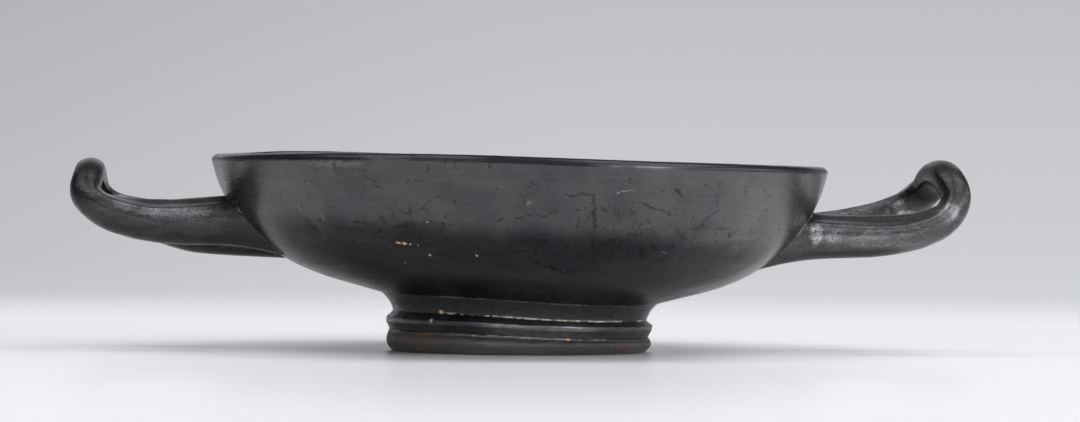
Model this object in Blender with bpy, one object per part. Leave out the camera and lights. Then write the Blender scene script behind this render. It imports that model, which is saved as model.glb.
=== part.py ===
"""Stemless kylix: a shallow two-handled drinking cup of fired clay with a black gloss.

The bowl, the moulded ring foot and the two upturned loop handles were thrown and
rolled separately, luted together wet and fired as one piece, so the cup is one solid.

Frame: origin at the centre of the foot's resting ring, +Z up, handles along X.
All sizes below are in millimetres; the mesh is written in metres.
"""

import math

import bmesh
import bpy

MM = 0.001

# ---------------------------------------------------------------- overall sizes
RIM_RADIUS = 82.6          # outer radius of the lip
RIM_HEIGHT = 51.5          # top of the lip above the table, on average
LIP_THICKNESS = 2.5        # wall at the lip
WALL_THICKNESS = 3.5       # wall at mid height
FLOOR_THICKNESS = 4.4      # wall where the foot is luted on
SEGMENTS = 64              # divisions round the axis

# Outer face of the bowl, from the foot joint up to the lip: (radius, height).
BOWL_STATIONS = (
    (37.1, 14.20),
    (42.8, 15.75),
    (48.3, 17.25),
    (53.8, 19.05),
    (59.0, 21.15),
    (63.5, 23.55),
    (69.1, 27.35),
    (73.5, 31.60),
    (76.7, 35.70),
    (79.1, 40.10),
    (81.2, 45.20),
    (RIM_RADIUS, 50.00),
)

# Mouldings of the ring foot, from the table up: (radius, height, bulge of the
# arc that leads to the next corner; + swells outwards, - is hollowed).
FOOT_MOULDINGS = (
    (33.6, 0.00, 1.20),    # resting edge, then the torus
    (34.95, 4.85, -0.06),  # groove, then the fillet, which leans outwards
    (35.85, 7.60, 0.05),   # fillet's edge
    (35.80, 8.20, 0.0),    # and the sloping ledge above it
    (34.20, 9.70, -0.26),  # throat, then the cavetto
    (36.70, 13.95, 0.0),   # scored line under the bowl
)
ARC_STEPS = (5, 2, 1, 1, 4)

# Hollow underside of the foot, from the resting ring in to the axis.
FOOT_INNER = ((29.4, 0.00), (28.6, 0.9), (27.4, 6.0), (26.3, 9.3), (23.5, 10.7), (12.0, 11.2), (0.0, 11.4))

INNER_FLOOR = ((30.0, 17.5), (18.0, 16.6), (0.0, 16.2))  # inside, in the middle of the floor

# ---------------------------------------------------------------- hand-made irregularity
# The cup sits a little askew on its foot: everything above the torus is higher
# on the -X side and lower on the +X side.  (height, offset)
LEAN = ((0.0, 0.0), (2.1, 0.30), (4.7, 1.02), (7.8, 1.06), (9.8, 1.30), (14.0, 1.42), (27.0, 1.42), (39.5, 1.32), (51.4, 1.20))
LEAN_REACH = ((14.0, 22.0), (46.0, 42.0))   # the offset builds up over this distance from the axis, by height
RIM_SAG = 0.5              # the handles drag the rim down this much, and it rises between them
RIM_HUMP = 0.6             # and it rises once more at one place
RIM_HUMP_AT = 138.0        # in degrees round from +X
RIM_HUMP_SPREAD = 17.0
BELLY_SAG = 0.32           # the lower wall and the handle roots hang this much deeper at +X
NECK_OFFSET = 0.25         # the neck stands this far towards +X from the foot's middle

# ---------------------------------------------------------------- handles
ROLL_WIDE = 9.8            # breadth of the clay roll in the legs
TIP_WIDE = 7.2             # and at the upturned tip
ROOT_FACE = 84.0           # distance from the axis where the legs start to be smoothed on to the bowl
LEG_APART = 13.4           # half the distance between the legs, at the bowl
LOOP_APART = 16.2          # and where the round end of the loop starts
LOOP_END = 16.5            # length of the round end, along the bent loop
TIP_BLEND = 30.0           # the roll goes from its leg's section to its tip's over this length

# Section of the roll, as shares of its half breadth and half height: (out from
# the loop, up).  The top was flattened with a thumb, sloping outwards from a
# ridge along the inner edge to a soft crease along the outer one.
LEG_SECTION = ((-0.74, 0.97), (0.04, 0.74), (0.78, 0.52), (1.0, -0.02), (0.74, -0.68),
               (0.04, -1.0), (-0.70, -0.74), (-1.0, -0.02), (-0.98, 0.60))
TIP_SECTION = ((-0.66, 0.86), (0.04, 0.97), (0.72, 0.74), (1.0, 0.05), (0.74, -0.68),
               (0.04, -1.0), (-0.70, -0.74), (-1.0, -0.02), (-0.93, 0.48))

# The loop is bent up more sharply on one side than on the other.  For each handle:
# near, far - side view of its two halves, (distance from the axis, height), leg to tip
# tall      - height of the roll, by distance back from the tip; the far half is fuller by so much
# flare     - how much deeper the near and the far leg get where they meet the bowl
# follow    - how far the flattened top follows the loop's sideways tilt
HANDLES = (
    {"side": -1,
     "near": ((76.0, 34.3), (95.0, 33.2), (105.0, 34.4), (112.8, 37.2), (116.3, 41.5), (115.4, 46.7)),
     "far": ((76.0, 30.0), (86.0, 30.3), (95.0, 32.3), (103.0, 34.3), (109.0, 36.6), (113.2, 40.7), (114.4, 46.7)),
     "tall": ((0.0, 8.2), (8.0, 8.4), (18.0, 10.8), (28.0, 12.3), (46.0, 13.9)), "fuller": 0.0,
     "flare": (3.0, 0.3), "follow": 0.4},
    {"side": 1,
     "near": ((76.0, 33.3), (96.0, 33.1), (107.0, 35.0), (113.8, 38.7), (117.0, 43.9), (116.0, 50.0)),
     "far": ((76.0, 33.2), (92.3, 36.1), (101.0, 38.8), (106.7, 41.8), (110.1, 45.6), (111.1, 50.3)),
     "tall": ((0.0, 9.0), (8.0, 7.8), (20.0, 9.3), (30.0, 10.8), (46.0, 11.9)), "fuller": 1.4,
     "flare": (3.3, 1.2), "follow": 1.0},
)


# ---------------------------------------------------------------- curves
def through(points, steps):
    """A smooth line through the points (centripetal Catmull-Rom), with that many steps between two."""
    pts = [tuple(map(float, p)) for p in points]
    first = tuple(2 * a - b for a, b in zip(pts[0], pts[1]))
    last = tuple(2 * a - b for a, b in zip(pts[-1], pts[-2]))
    ext = [first] + pts + [last]
    line = []
    for i in range(1, len(ext) - 2):
        p0, p1, p2, p3 = ext[i - 1:i + 3]
        t = [0.0]
        for a, b in ((p0, p1), (p1, p2), (p2, p3)):
            t.append(t[-1] + math.dist(a, b) ** 0.5)
        for k in range(steps):
            u = t[1] + (t[2] - t[1]) * k / steps

            def mix(a, b, ta, tb):
                w = (u - ta) / (tb - ta)
                return tuple(x + (y - x) * w for x, y in zip(a, b))

            a1, a2, a3 = mix(p0, p1, t[0], t[1]), mix(p1, p2, t[1], t[2]), mix(p2, p3, t[2], t[3])
            b1, b2 = mix(a1, a2, t[0], t[2]), mix(a2, a3, t[1], t[3])
            line.append(mix(b1, b2, t[1], t[2]))
    line.append(pts[-1])
    return line


def bow(p, q, bulge, steps):
    """Points from p towards q along a circular arc that swells by bulge to the right of the way, q left out."""
    dx, dz = q[0] - p[0], q[1] - p[1]
    out = []
    for k in range(steps):
        w = k / steps
        lift = 4 * bulge * w * (1 - w) / math.hypot(dx, dz)
        out.append((p[0] + dx * w + dz * lift, p[1] + dz * w - dx * lift))
    return out


def lookup(table, x):
    """Straight-line reading of a (key, value) table."""
    if x <= table[0][0]:
        return table[0][1]
    for (a, va), (b, vb) in zip(table, table[1:]):
        if x <= b:
            return va + (vb - va) * (x - a) / (b - a)
    return table[-1][1]


def smooth(x):
    x = min(1.0, max(0.0, x))
    return x * x * (3 - 2 * x)


def rounded(table, x, width):
    """The same reading with the corners eased over that width."""
    return sum(lookup(table, x + width * k / 4) for k in (-2, -1, 0, 1, 2)) / 5


# ---------------------------------------------------------------- the thrown shape
def wall_thickness(z):
    return lookup(((13.5, FLOOR_THICKNESS), (23.5, 4.0), (37.5, WALL_THICKNESS), (49.5, LIP_THICKNESS)), z)


def inner_wall(outer):
    """The bowl's inside: the outer line set in by the wall's thickness, square to it."""
    inside = []
    for i, p in enumerate(outer):
        a, b = outer[max(i - 1, 0)], outer[min(i + 1, len(outer) - 1)]
        dr, dz = b[0] - a[0], b[1] - a[1]
        n = math.hypot(dr, dz)
        t = wall_thickness(p[1])
        inside.append((p[0] - t * dz / n, p[1] + t * dr / n))
    return inside


def cup_profile():
    """The turned section, from the axis under the foot, round the outside and over the lip, to the axis inside."""
    profile = list(reversed(through(FOOT_INNER, 1)))
    for i, steps in enumerate(ARC_STEPS):
        p, q = FOOT_MOULDINGS[i], FOOT_MOULDINGS[i + 1]
        profile += bow(p[:2], q[:2], p[2], steps)
    profile.append(FOOT_MOULDINGS[-1][:2])
    outer = through(BOWL_STATIONS, 1)
    profile += outer
    inside = inner_wall(outer)
    top, under = outer[-1], inside[-1]
    middle = ((top[0] + under[0]) / 2, (top[1] + under[1]) / 2)
    half = LIP_THICKNESS / 2
    rise = RIM_HEIGHT - middle[1]
    for k in range(1, 6):                      # the rounded lip
        a = math.pi * k / 6
        profile.append((middle[0] + half * math.cos(a), middle[1] + rise * math.sin(a)))
    floor = [p for p in INNER_FLOOR]
    profile += list(reversed(inside))[:-1]
    profile += floor
    return profile


def wall_radius(z, inset):
    """Radius at height z of a face set into the wall by inset, measured level."""
    table = [(p[1], p[0]) for p in through(BOWL_STATIONS, 4)]
    return lookup(table, z) - inset


def settle(x, y, z):
    """The lean and sag of the finished cup: where a point of the true-turned shape really lies."""
    lean = lookup(LEAN, z) * math.tanh(x / lookup(LEAN_REACH, z))
    r = math.hypot(x, y)
    sag = RIM_SAG * smooth((z - 19.5) / 30.0) * smooth(r / 60.0)
    turn = (x * x - y * y) / (r * r) if r > 1e-6 else 0.0
    off = (math.degrees(math.atan2(y, x)) - RIM_HUMP_AT + 180) % 360 - 180
    hump = RIM_HUMP * smooth((z - 29.5) / 20.0) * math.exp(-(off / RIM_HUMP_SPREAD) ** 2) * smooth(r / 60.0)
    hang = BELLY_SAG * smooth((x - 42.0) / 12.0) * (1 - 0.6 * smooth((x - 80.0) / 8.0)) * smooth((42.0 - z) / 12.0)
    aside = NECK_OFFSET * smooth((z - 5.0) / 4.0) * smooth((32.0 - z) / 16.0)
    return x + aside, y, z - lean - sag * turn + hump - hang


# ---------------------------------------------------------------- handles
def add(p, q, k=1.0):
    return tuple(a + k * b for a, b in zip(p, q))


def dot(p, q):
    return sum(a * b for a, b in zip(p, q))


def cross(p, q):
    return (p[1] * q[2] - p[2] * q[1], p[2] * q[0] - p[0] * q[2], p[0] * q[1] - p[1] * q[0])


def unit(p):
    n = math.sqrt(dot(p, p))
    return tuple(a / n for a in p)


def round_of(corners, steps):
    """A smooth closed line through the corners."""
    n = len(corners)
    return through([corners[(i - 1) % n] for i in range(n + 3)], steps)[steps:steps * (n + 1)]


def side_view(stations):
    """Half of a handle seen from the side: a function from the distance along it, back from the tip, to
    (distance from the axis, height), and the whole length."""
    line = through(stations, 10)[::-1]
    run = [0.0]
    for a, b in zip(line, line[1:]):
        run.append(run[-1] + math.dist(a, b))
    xs, zs = list(zip(run, (p[0] for p in line))), list(zip(run, (p[1] for p in line)))
    return lambda d: (lookup(xs, d), lookup(zs, d))


def centre_line(h, steps_leg, steps_end):
    """Points down the middle of the roll with the upward side of each: from the bowl along the near leg,
    round the tip and back along the far one."""
    near, far = side_view(h["near"]), side_view(h["far"])

    def place(d, v):
        w = min(1.0, max(0.0, (v / LOOP_APART + 1) / 2))
        return add(tuple((1 - w) * c for c in near(d)), far(d), w)

    def leg(view):
        d = LOOP_END
        while view(d)[0] > ROOT_FACE:
            d += 0.05
        return [d + (LOOP_END - d) * k / steps_leg for k in range(steps_leg)]

    def spread(d, root):
        return LOOP_APART + (LEG_APART - LOOP_APART) * (d - LOOP_END) / (root - LOOP_END)

    near_leg, far_leg = leg(near), leg(far)
    flat = [(d, -spread(d, near_leg[0])) for d in near_leg]
    for k in range(steps_end + 1):
        a = math.pi * (k / steps_end - 0.5)
        flat.append((LOOP_END * (1 - math.cos(a)), LOOP_APART * math.sin(a)))
    flat += [(d, spread(d, far_leg[0])) for d in reversed(far_leg)]

    line = []
    for d, v in flat:
        x, z = place(d, v)
        (xa, za), (xb, zb) = place(d + 0.6, v), place(max(d - 0.6, 0.0), v)
        along = (xb - xa, 0.0, zb - za)
        n, f = near(d), far(d)
        over = (h["follow"] * (f[0] - n[0]), 2 * LOOP_APART, h["follow"] * (f[1] - n[1]))
        line.append(((x, v, z), unit(cross(along, over)), d))
    return line


def handle_rings(h, section_steps=2, steps_leg=9, steps_end=18, steps_root=4):
    """Rings of points along a handle, from the root of the near leg (-Y) over the tip to the far one's."""
    leg_shape, tip_shape = round_of(LEG_SECTION, section_steps), round_of(TIP_SECTION, section_steps)
    line = centre_line(h, steps_leg, steps_end)
    rings = []
    for i, (p, up, d) in enumerate(line):
        along = unit(add(line[min(i + 1, len(line) - 1)][0], line[max(i - 1, 0)][0], -1.0))
        up = unit(add(up, along, -dot(up, along)))
        out = cross(along, up)
        w = smooth(d / TIP_BLEND)
        wide = TIP_WIDE + (ROLL_WIDE - TIP_WIDE) * w
        tall = rounded(h["tall"], d, 8.0) + h["fuller"] * smooth(p[1] / LOOP_APART) * smooth(2 - d / 20)
        ring = []
        for leg_at, tip_at in zip(leg_shape, tip_shape):
            o, n = add(tuple((1 - w) * c for c in tip_at), leg_at, w)
            q = add(add(p, out, o * wide / 2), up, n * tall / 2)
            ring.append((h["side"] * q[0], q[1], q[2]))
        rings.append(ring)
    first = root_rings(h["side"], h["flare"][0], rings[0], rings[1], leg_shape, steps_root)
    last = root_rings(h["side"], h["flare"][1], rings[-1], rings[-2], leg_shape, steps_root)
    return first + rings + last[::-1]


def root_rings(side, flare, ring, beyond, shape, steps):
    """From a leg's last free ring into the middle of the wall, deepening downwards."""
    lines = []
    for (x0, y0, z0), (x1, y1, z1), (o, n) in zip(ring, beyond, shape):
        x0, x1 = side * x0, side * x1

        def place(x):
            t = min(1.0, max(ROOT_FACE - x, 0.0) / 21.0) ** 2
            k = (math.exp((x - x0) / 9.0) - 1) * 9.0 / (x1 - x0)   # the leg's slope dies out
            return (x, y0 + (y1 - y0) * k + 0.6 * t * math.copysign(max(o, 0.0), y0),
                    z0 + (z1 - z0) * k - flare * t * max(-n, 0.0) ** 1.5 + 0.4 * t * max(n, 0.0))

        x = 72.0
        for _ in range(12):
            _, y, z = place(x)
            r = wall_radius(z, 2.0)
            x = math.sqrt(max(r * r - y * y, 1.0))
        lines.append([place(x + (x0 - x) * k / steps) for k in range(steps)])
    return [[(side * line[k][0], line[k][1], line[k][2]) for line in lines] for k in range(steps)]


# ---------------------------------------------------------------- building
def clear_scene():
    for obj in list(bpy.data.objects):
        bpy.data.objects.remove(obj, do_unlink=True)


def to_object(bm, name, material=None):
    bmesh.ops.recalc_face_normals(bm, faces=bm.faces)
    mesh = bpy.data.meshes.new(name)
    bm.to_mesh(mesh)
    bm.free()
    obj = bpy.data.objects.new(name, mesh)
    bpy.context.scene.collection.objects.link(obj)
    if material:
        mesh.materials.append(material)
    return obj


def move_all(bm):
    for v in bm.verts:
        x, y, z = settle(v.co.x / MM, v.co.y / MM, v.co.z / MM)
        v.co = (x * MM, y * MM, z * MM)


def make_bowl():
    bm = bmesh.new()
    line = [bm.verts.new((r * MM, 0.0, z * MM)) for r, z in cup_profile()]
    edges = [bm.edges.new(pair) for pair in zip(line, line[1:])]
    bmesh.ops.spin(bm, geom=line + edges, cent=(0, 0, 0), axis=(0, 0, 1),
                   angle=2 * math.pi, steps=SEGMENTS, use_merge=True)
    bmesh.ops.remove_doubles(bm, verts=bm.verts, dist=1e-6)
    move_all(bm)
    return bm


def make_handle(h):
    bm = bmesh.new()
    rings = [[bm.verts.new((x * MM, y * MM, z * MM)) for x, y, z in ring] for ring in handle_rings(h)]
    count = len(rings[0])
    for a, b in zip(rings, rings[1:]):
        for j in range(count):
            bm.faces.new((a[j], a[(j + 1) % count], b[(j + 1) % count], b[j]))
    for ring in (rings[0], rings[-1]):
        y = sum(v.co.y for v in ring) / count / MM
        z = sum(v.co.z for v in ring) / count / MM
        hub = bm.verts.new((h["side"] * math.sqrt(wall_radius(z, 2.0) ** 2 - y * y) * MM, y * MM, z * MM))
        for j in range(count):
            bm.faces.new((ring[j], ring[(j + 1) % count], hub))
    move_all(bm)
    return bm


def gloss_material():
    mat = bpy.data.materials.new("black_gloss")
    mat.use_nodes = True
    shader = mat.node_tree.nodes["Principled BSDF"]
    shader.inputs["Base Color"].default_value = (0.016, 0.016, 0.018, 1.0)
    shader.inputs["Roughness"].default_value = 0.3
    shader.inputs["Metallic"].default_value = 0.0
    return mat


def main():
    clear_scene()
    gloss = gloss_material()
    cup = to_object(make_bowl(), "kylix_cup", gloss)
    for i, h in enumerate(HANDLES):
        handle = to_object(make_handle(h), f"handle_roll_{i}")
        handle.hide_render = True
        handle.display_type = "WIRE"
        union = cup.modifiers.new(f"lute_handle_{i}", "BOOLEAN")
        union.operation = "UNION"
        union.solver = "EXACT"
        union.object = handle
    cup.data.shade_smooth()
    cup.data.set_sharp_from_angle(angle=math.radians(40))


main()
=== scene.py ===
"""Looks of the stemless kylix: a fine mesh of the one fired-clay piece over its CAD solid, its black
gloss with wheel marks, scratches, chips and lime deposit, a pale floor, soft lights and the camera.

Lengths are in millimetres until a mesh is written; "turned" coordinates are those of the cup as it
came off the wheel, before it leaned and sagged a little on its foot.
"""

import math

import bmesh
import bpy
import numpy as np
from mathutils import Matrix, Vector
from mathutils.kdtree import KDTree


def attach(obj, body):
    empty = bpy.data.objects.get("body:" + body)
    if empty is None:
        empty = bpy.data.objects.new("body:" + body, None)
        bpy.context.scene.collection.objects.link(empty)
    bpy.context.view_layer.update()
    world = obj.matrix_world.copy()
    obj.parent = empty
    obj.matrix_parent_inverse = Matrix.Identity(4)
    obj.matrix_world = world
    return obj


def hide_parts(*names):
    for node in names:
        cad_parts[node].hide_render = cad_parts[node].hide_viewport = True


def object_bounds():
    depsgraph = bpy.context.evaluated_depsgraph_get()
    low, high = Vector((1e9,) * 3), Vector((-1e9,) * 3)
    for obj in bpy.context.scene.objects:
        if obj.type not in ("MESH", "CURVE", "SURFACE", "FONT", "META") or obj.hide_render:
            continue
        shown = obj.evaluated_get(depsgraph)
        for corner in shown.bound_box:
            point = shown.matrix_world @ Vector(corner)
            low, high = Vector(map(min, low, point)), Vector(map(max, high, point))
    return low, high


MM = 0.001
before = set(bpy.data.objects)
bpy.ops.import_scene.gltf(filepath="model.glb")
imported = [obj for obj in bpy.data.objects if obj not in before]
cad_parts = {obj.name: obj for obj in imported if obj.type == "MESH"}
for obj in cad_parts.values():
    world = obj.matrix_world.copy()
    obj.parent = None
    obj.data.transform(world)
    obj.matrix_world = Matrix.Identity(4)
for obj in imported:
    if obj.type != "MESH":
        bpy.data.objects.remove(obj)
cad_box = [list(map(float, corner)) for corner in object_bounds()]

# ================================================================ sizes, as in the CAD source
RIM_RADIUS = 82.6
LIP_THICKNESS = 2.5
WALL_THICKNESS = 3.5
FLOOR_THICKNESS = 4.4

BOWL_STATIONS = (
    (37.1, 14.20), (42.8, 15.75), (48.3, 17.25), (53.8, 19.05), (59.0, 21.15), (63.5, 23.55),
    (69.1, 27.35), (73.5, 31.60), (76.7, 35.70), (79.1, 40.10), (81.2, 45.20), (RIM_RADIUS, 50.00),
)
FOOT_INNER = ((29.4, 0.00), (28.6, 0.9), (27.4, 6.0), (26.3, 9.3), (23.5, 10.7), (12.0, 11.2), (0.0, 11.4))
INNER_FLOOR = ((30.0, 17.5), (18.0, 16.6), (0.0, 16.2))

LEAN = ((0.0, 0.0), (2.1, 0.30), (4.7, 1.02), (7.8, 1.06), (9.8, 1.30), (14.0, 1.42), (27.0, 1.42), (39.5, 1.32), (51.4, 1.20))
LEAN_REACH = ((14.0, 22.0), (46.0, 42.0))
RIM_SAG = 0.5
RIM_HUMP = 0.6
RIM_HUMP_AT = 138.0
RIM_HUMP_SPREAD = 17.0
BELLY_SAG = 0.32
NECK_OFFSET = 0.25

ROLL_WIDE = 9.8
TIP_WIDE = 7.2
ROOT_FACE = 84.0
LEG_APART = 13.4
LOOP_APART = 16.2
LOOP_END = 16.5
TIP_BLEND = 30.0
LEG_SECTION = ((-0.74, 0.97), (0.04, 0.74), (0.78, 0.52), (1.0, -0.02), (0.74, -0.68),
               (0.04, -1.0), (-0.70, -0.74), (-1.0, -0.02), (-0.98, 0.60))
TIP_SECTION = ((-0.66, 0.86), (0.04, 0.97), (0.72, 0.74), (1.0, 0.05), (0.74, -0.68),
               (0.04, -1.0), (-0.70, -0.74), (-1.0, -0.02), (-0.93, 0.48))
HANDLES = (
    {"side": -1,
     "near": ((76.0, 34.3), (95.0, 33.2), (105.0, 34.4), (112.8, 37.2), (116.3, 41.5), (115.4, 46.7)),
     "far": ((76.0, 30.0), (86.0, 30.3), (95.0, 32.3), (103.0, 34.3), (109.0, 36.6), (113.2, 40.7), (114.4, 46.7)),
     "tall": ((0.0, 8.2), (8.0, 8.4), (18.0, 10.8), (28.0, 12.3), (46.0, 13.9)), "fuller": 0.0,
     "flare": (3.0, 0.3), "follow": 0.4},
    {"side": 1,
     "near": ((76.0, 33.3), (96.0, 33.1), (107.0, 35.0), (113.8, 38.7), (117.0, 43.9), (116.0, 50.0)),
     "far": ((76.0, 33.2), (92.3, 36.1), (101.0, 38.8), (106.7, 41.8), (110.1, 45.6), (111.1, 50.3)),
     "tall": ((0.0, 9.0), (8.0, 7.8), (20.0, 9.3), (30.0, 10.8), (46.0, 11.9)), "fuller": 1.4,
     "flare": (3.3, 1.2), "follow": 1.0},
)

# ================================================================ finer sizes, only in this mesh
ROUND_STEPS = 332          # divisions round the axis, closer together at the front
FRONT_CLOSER = 0.42        # how much closer

# Mouldings of the ring foot, from the resting edge up: (radius, height, bulge, steps). The line
# under the cavetto is cut in sharply, and so is the one over the torus.
FOOT_FINE = (
    (33.60, 0.00, 0.14, 4),     # resting edge, eased
    (34.50, 0.50, 0.80, 14),    # torus
    (34.95, 4.30, 0.12, 5),     # its shoulder
    (34.60, 4.78, 0.00, 2),     # floor of the lower groove
    (34.78, 5.08, -0.04, 8),    # fillet, leaning outwards
    (35.62, 6.70, 0.03, 5),     # its broad rounded edge
    (35.70, 7.75, 0.14, 8),
    (35.10, 8.50, -0.03, 6),    # sloping ledge
    (33.98, 9.55, 0.00, 2),     # throat
    (34.08, 9.80, -0.30, 18),   # cavetto
    (36.45, 13.65, 0.05, 3),
    (36.60, 13.88, 0.00, 2),    # scored line under the bowl
    (37.10, 14.20, 0.00, 0),
)

# Small chips through the gloss: (degrees round from the front, turned height, half length, half height, tilt)
CHIPS = (
    (-29.3, 28.50, 1.05, 0.34, -0.06),
    (-28.0, 28.35, 1.00, 0.42, 0.05),
    (-26.6, 28.20, 0.50, 0.22, 0.0),
    (-24.9, 28.00, 0.22, 0.20, 0.0),
    (-23.3, 25.45, 0.52, 0.30, -0.15),
    (-31.3, 23.10, 0.26, 0.22, 0.0),
    (-12.4, 25.85, 0.34, 0.32, 0.0),
    (-21.2, 34.10, 0.26, 0.28, 0.0),
    (-40.4, 9.95, 1.05, 0.60, 0.1),
    (-43.8, 7.75, 0.55, 0.75, 0.0),
    (19.0, 4.50, 1.00, 0.50, 0.0),
    (-23.0, 4.45, 0.60, 0.30, 0.0),
)

# Dark strokes where something has rubbed or etched the gloss: (half width, strength, places along it
# as degrees round from the front and turned height)
STROKES = (
    (0.40, 0.8, ((-38.4, 48.9), (-38.2, 47.6))),
    (0.50, 0.8, ((-19.5, 48.4), (-19.8, 47.0))),
    (0.16, 0.9, ((-31.9, 45.4), (-31.2, 44.7), (-29.8, 44.2))),
    (0.32, 0.9, ((-30.3, 43.0), (-29.4, 42.9))),
    (0.28, 0.9, ((-18.5, 40.8), (-17.8, 40.9))),
    (0.17, 0.9, ((-27.4, 40.1), (-27.0, 38.7))),
    (0.17, 0.9, ((-21.0, 38.3), (-19.6, 39.7))),
    (0.17, 0.7, ((-15.1, 40.3), (-15.0, 39.1))),
    (0.24, 1.0, ((-26.3, 37.1), (-25.4, 36.1), (-24.2, 36.1), (-24.0, 38.0))),
    (0.17, 0.9, ((-22.3, 37.0), (-21.2, 37.7), (-20.4, 36.6))),
    (0.25, 0.7, ((-48.7, 39.3), (-49.6, 35.6))),
    (0.20, 0.7, ((-42.6, 38.3), (-41.9, 36.7))),
    (0.22, 0.8, ((-50.6, 33.0), (-48.6, 31.5))),
    (0.28, 0.9, ((-37.2, 33.7), (-34.5, 33.3))),
    (0.20, 0.8, ((-30.9, 34.7), (-29.4, 33.0))),
    (0.28, 0.9, ((-29.4, 32.2), (-24.8, 33.7), (-24.1, 33.1))),
    (0.22, 0.8, ((-39.6, 31.4), (-34.1, 32.3))),
    (0.24, 0.9, ((-33.8, 31.0), (-31.7, 31.6))),
    (0.40, 0.5, ((-24.5, 29.1), (-21.6, 27.8))),
    (0.24, 0.7, ((-18.6, 33.9), (-17.8, 33.6))),
    (0.20, 0.6, ((-8.0, 36.4), (-7.0, 38.3))),
    (0.22, 0.8, ((-7.1, 35.0), (-6.3, 35.9))),
    (0.24, 0.9, ((-4.0, 36.1), (-2.8, 36.0), (-1.8, 36.7), (-0.6, 36.6))),
    (0.22, 0.9, ((0.5, 36.9), (1.5, 36.4), (2.5, 37.5), (3.4, 37.8))),
    (0.14, 0.6, ((-2.6, 40.5), (-1.4, 39.9))),
    (0.14, 0.7, ((-0.1, 43.5), (0.7, 42.8))),
    (0.20, 0.7, ((3.7, 43.2), (4.1, 44.1))),
    (0.45, 0.6, ((0.5, 30.0), (0.2, 26.2))),
    (0.30, 0.8, ((-0.7, 25.6), (2.1, 24.4), (7.6, 22.7), (10.4, 23.6))),
    (0.20, 0.8, ((4.9, 42.7), (6.2, 42.0), (7.7, 42.2))),
    (0.22, 1.0, ((7.7, 42.3), (8.0, 42.8), (10.3, 42.5))),
    (0.28, 1.0, ((10.5, 42.4), (10.8, 40.0))),
    (0.60, 0.8, ((10.7, 40.5), (11.7, 33.9))),
    (0.70, 0.6, ((11.5, 32.6), (12.4, 28.5))),
    (0.22, 0.7, ((12.0, 39.9), (13.9, 38.1))),
    (0.24, 0.5, ((8.3, 37.8), (8.2, 32.3))),
    (0.34, 0.9, ((20.7, 40.8), (23.3, 39.6))),
    (0.24, 0.8, ((23.3, 39.6), (27.1, 38.2))),
    (0.30, 0.7, ((26.5, 38.7), (26.9, 40.0), (28.1, 41.4))),
    (0.50, 0.8, ((26.7, 44.5), (28.3, 43.0))),
    (0.20, 0.5, ((30.7, 47.1), (35.3, 44.7))),
    (0.45, 0.4, ((35.5, 44.5), (37.2, 40.3))),
    (0.45, 0.6, ((37.3, 39.6), (34.9, 37.3), (34.6, 35.0), (32.2, 34.7))),
    (0.30, 0.5, ((38.8, 35.3), (42.1, 35.0))),
    (0.55, 0.4, ((34.9, 34.5), (33.6, 30.6))),
    (0.50, 0.4, ((27.9, 35.7), (33.4, 30.8))),
    (0.30, 0.6, ((21.9, 34.4), (23.4, 34.5))),
    (0.80, 0.7, ((22.9, 29.1), (23.6, 28.5))),
    (0.50, 0.7, ((25.1, 30.3), (26.1, 29.8))),
    (0.16, 0.5, ((11.9, 25.5), (15.2, 25.3), (17.7, 26.2))),
    (0.45, 0.8, ((6.6, 29.4), (6.8, 29.1))),
    (0.30, 0.8, ((-72.0, 41.0), (-69.5, 38.2))),
    (0.40, 0.7, ((64.0, 36.0), (69.0, 33.0))),
    (0.25, 0.9, ((112.0, 44.0), (118.0, 41.5), (119.0, 36.0))),
    (0.50, 0.6, ((151.0, 33.0), (149.0, 28.0))),
    (0.22, 0.9, ((-158.0, 42.0), (-151.0, 40.5))),
    (0.35, 0.7, ((-121.0, 30.0), (-116.0, 33.5), (-113.0, 33.0))),
)

# Pale scratches, in the same form
PALE_STROKES = (
    (0.13, 0.7, ((14.9, 43.1), (15.5, 43.8))),
    (0.15, 0.75, ((15.5, 43.9), (18.0, 43.8))),
    (0.14, 0.7, ((-1.6, 40.6), (-0.8, 39.4))),
    (0.13, 0.5, ((-1.9, 39.4), (-0.9, 40.3))),
    (0.13, 0.7, ((44.4, 32.0), (46.2, 33.3))),
    (0.13, 0.7, ((46.8, 32.2), (48.8, 33.5))),
    (0.13, 0.7, ((48.6, 32.1), (50.6, 33.6))),
    (0.13, 0.6, ((51.0, 32.6), (53.0, 33.9))),
    (0.15, 0.6, ((47.8, 31.1), (50.1, 29.3))),
    (0.13, 0.5, ((27.6, 28.6), (30.6, 28.9))),
    (0.12, 0.5, ((16.6, 31.2), (17.2, 31.1))),
    (0.13, 0.8, ((-102.0, 39.0), (-99.0, 40.5))),
    (0.15, 0.8, ((131.0, 45.0), (136.0, 44.6))),
)

# Where dashes and rubs crowd together: (half width, strength, places)
BUSY = (
    (4.2, 1.0, ((-38.0, 31.0), (-22.0, 32.0))),
    (4.6, 1.0, ((10.0, 30.5), (27.0, 31.0))),
    (3.6, 0.8, ((13.0, 37.5), (23.0, 36.0))),
    (3.5, 0.7, ((28.0, 33.5), (40.0, 35.5))),
    (3.0, 0.6, ((-53.0, 38.0), (-47.0, 30.0))),
    (3.0, 0.6, ((-6.0, 28.0), (6.0, 31.0))),
    (4.5, 0.9, ((118.0, 35.0), (134.0, 30.0))),
    (4.0, 0.9, ((-150.0, 30.0), (-135.0, 36.0))),
)

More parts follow.
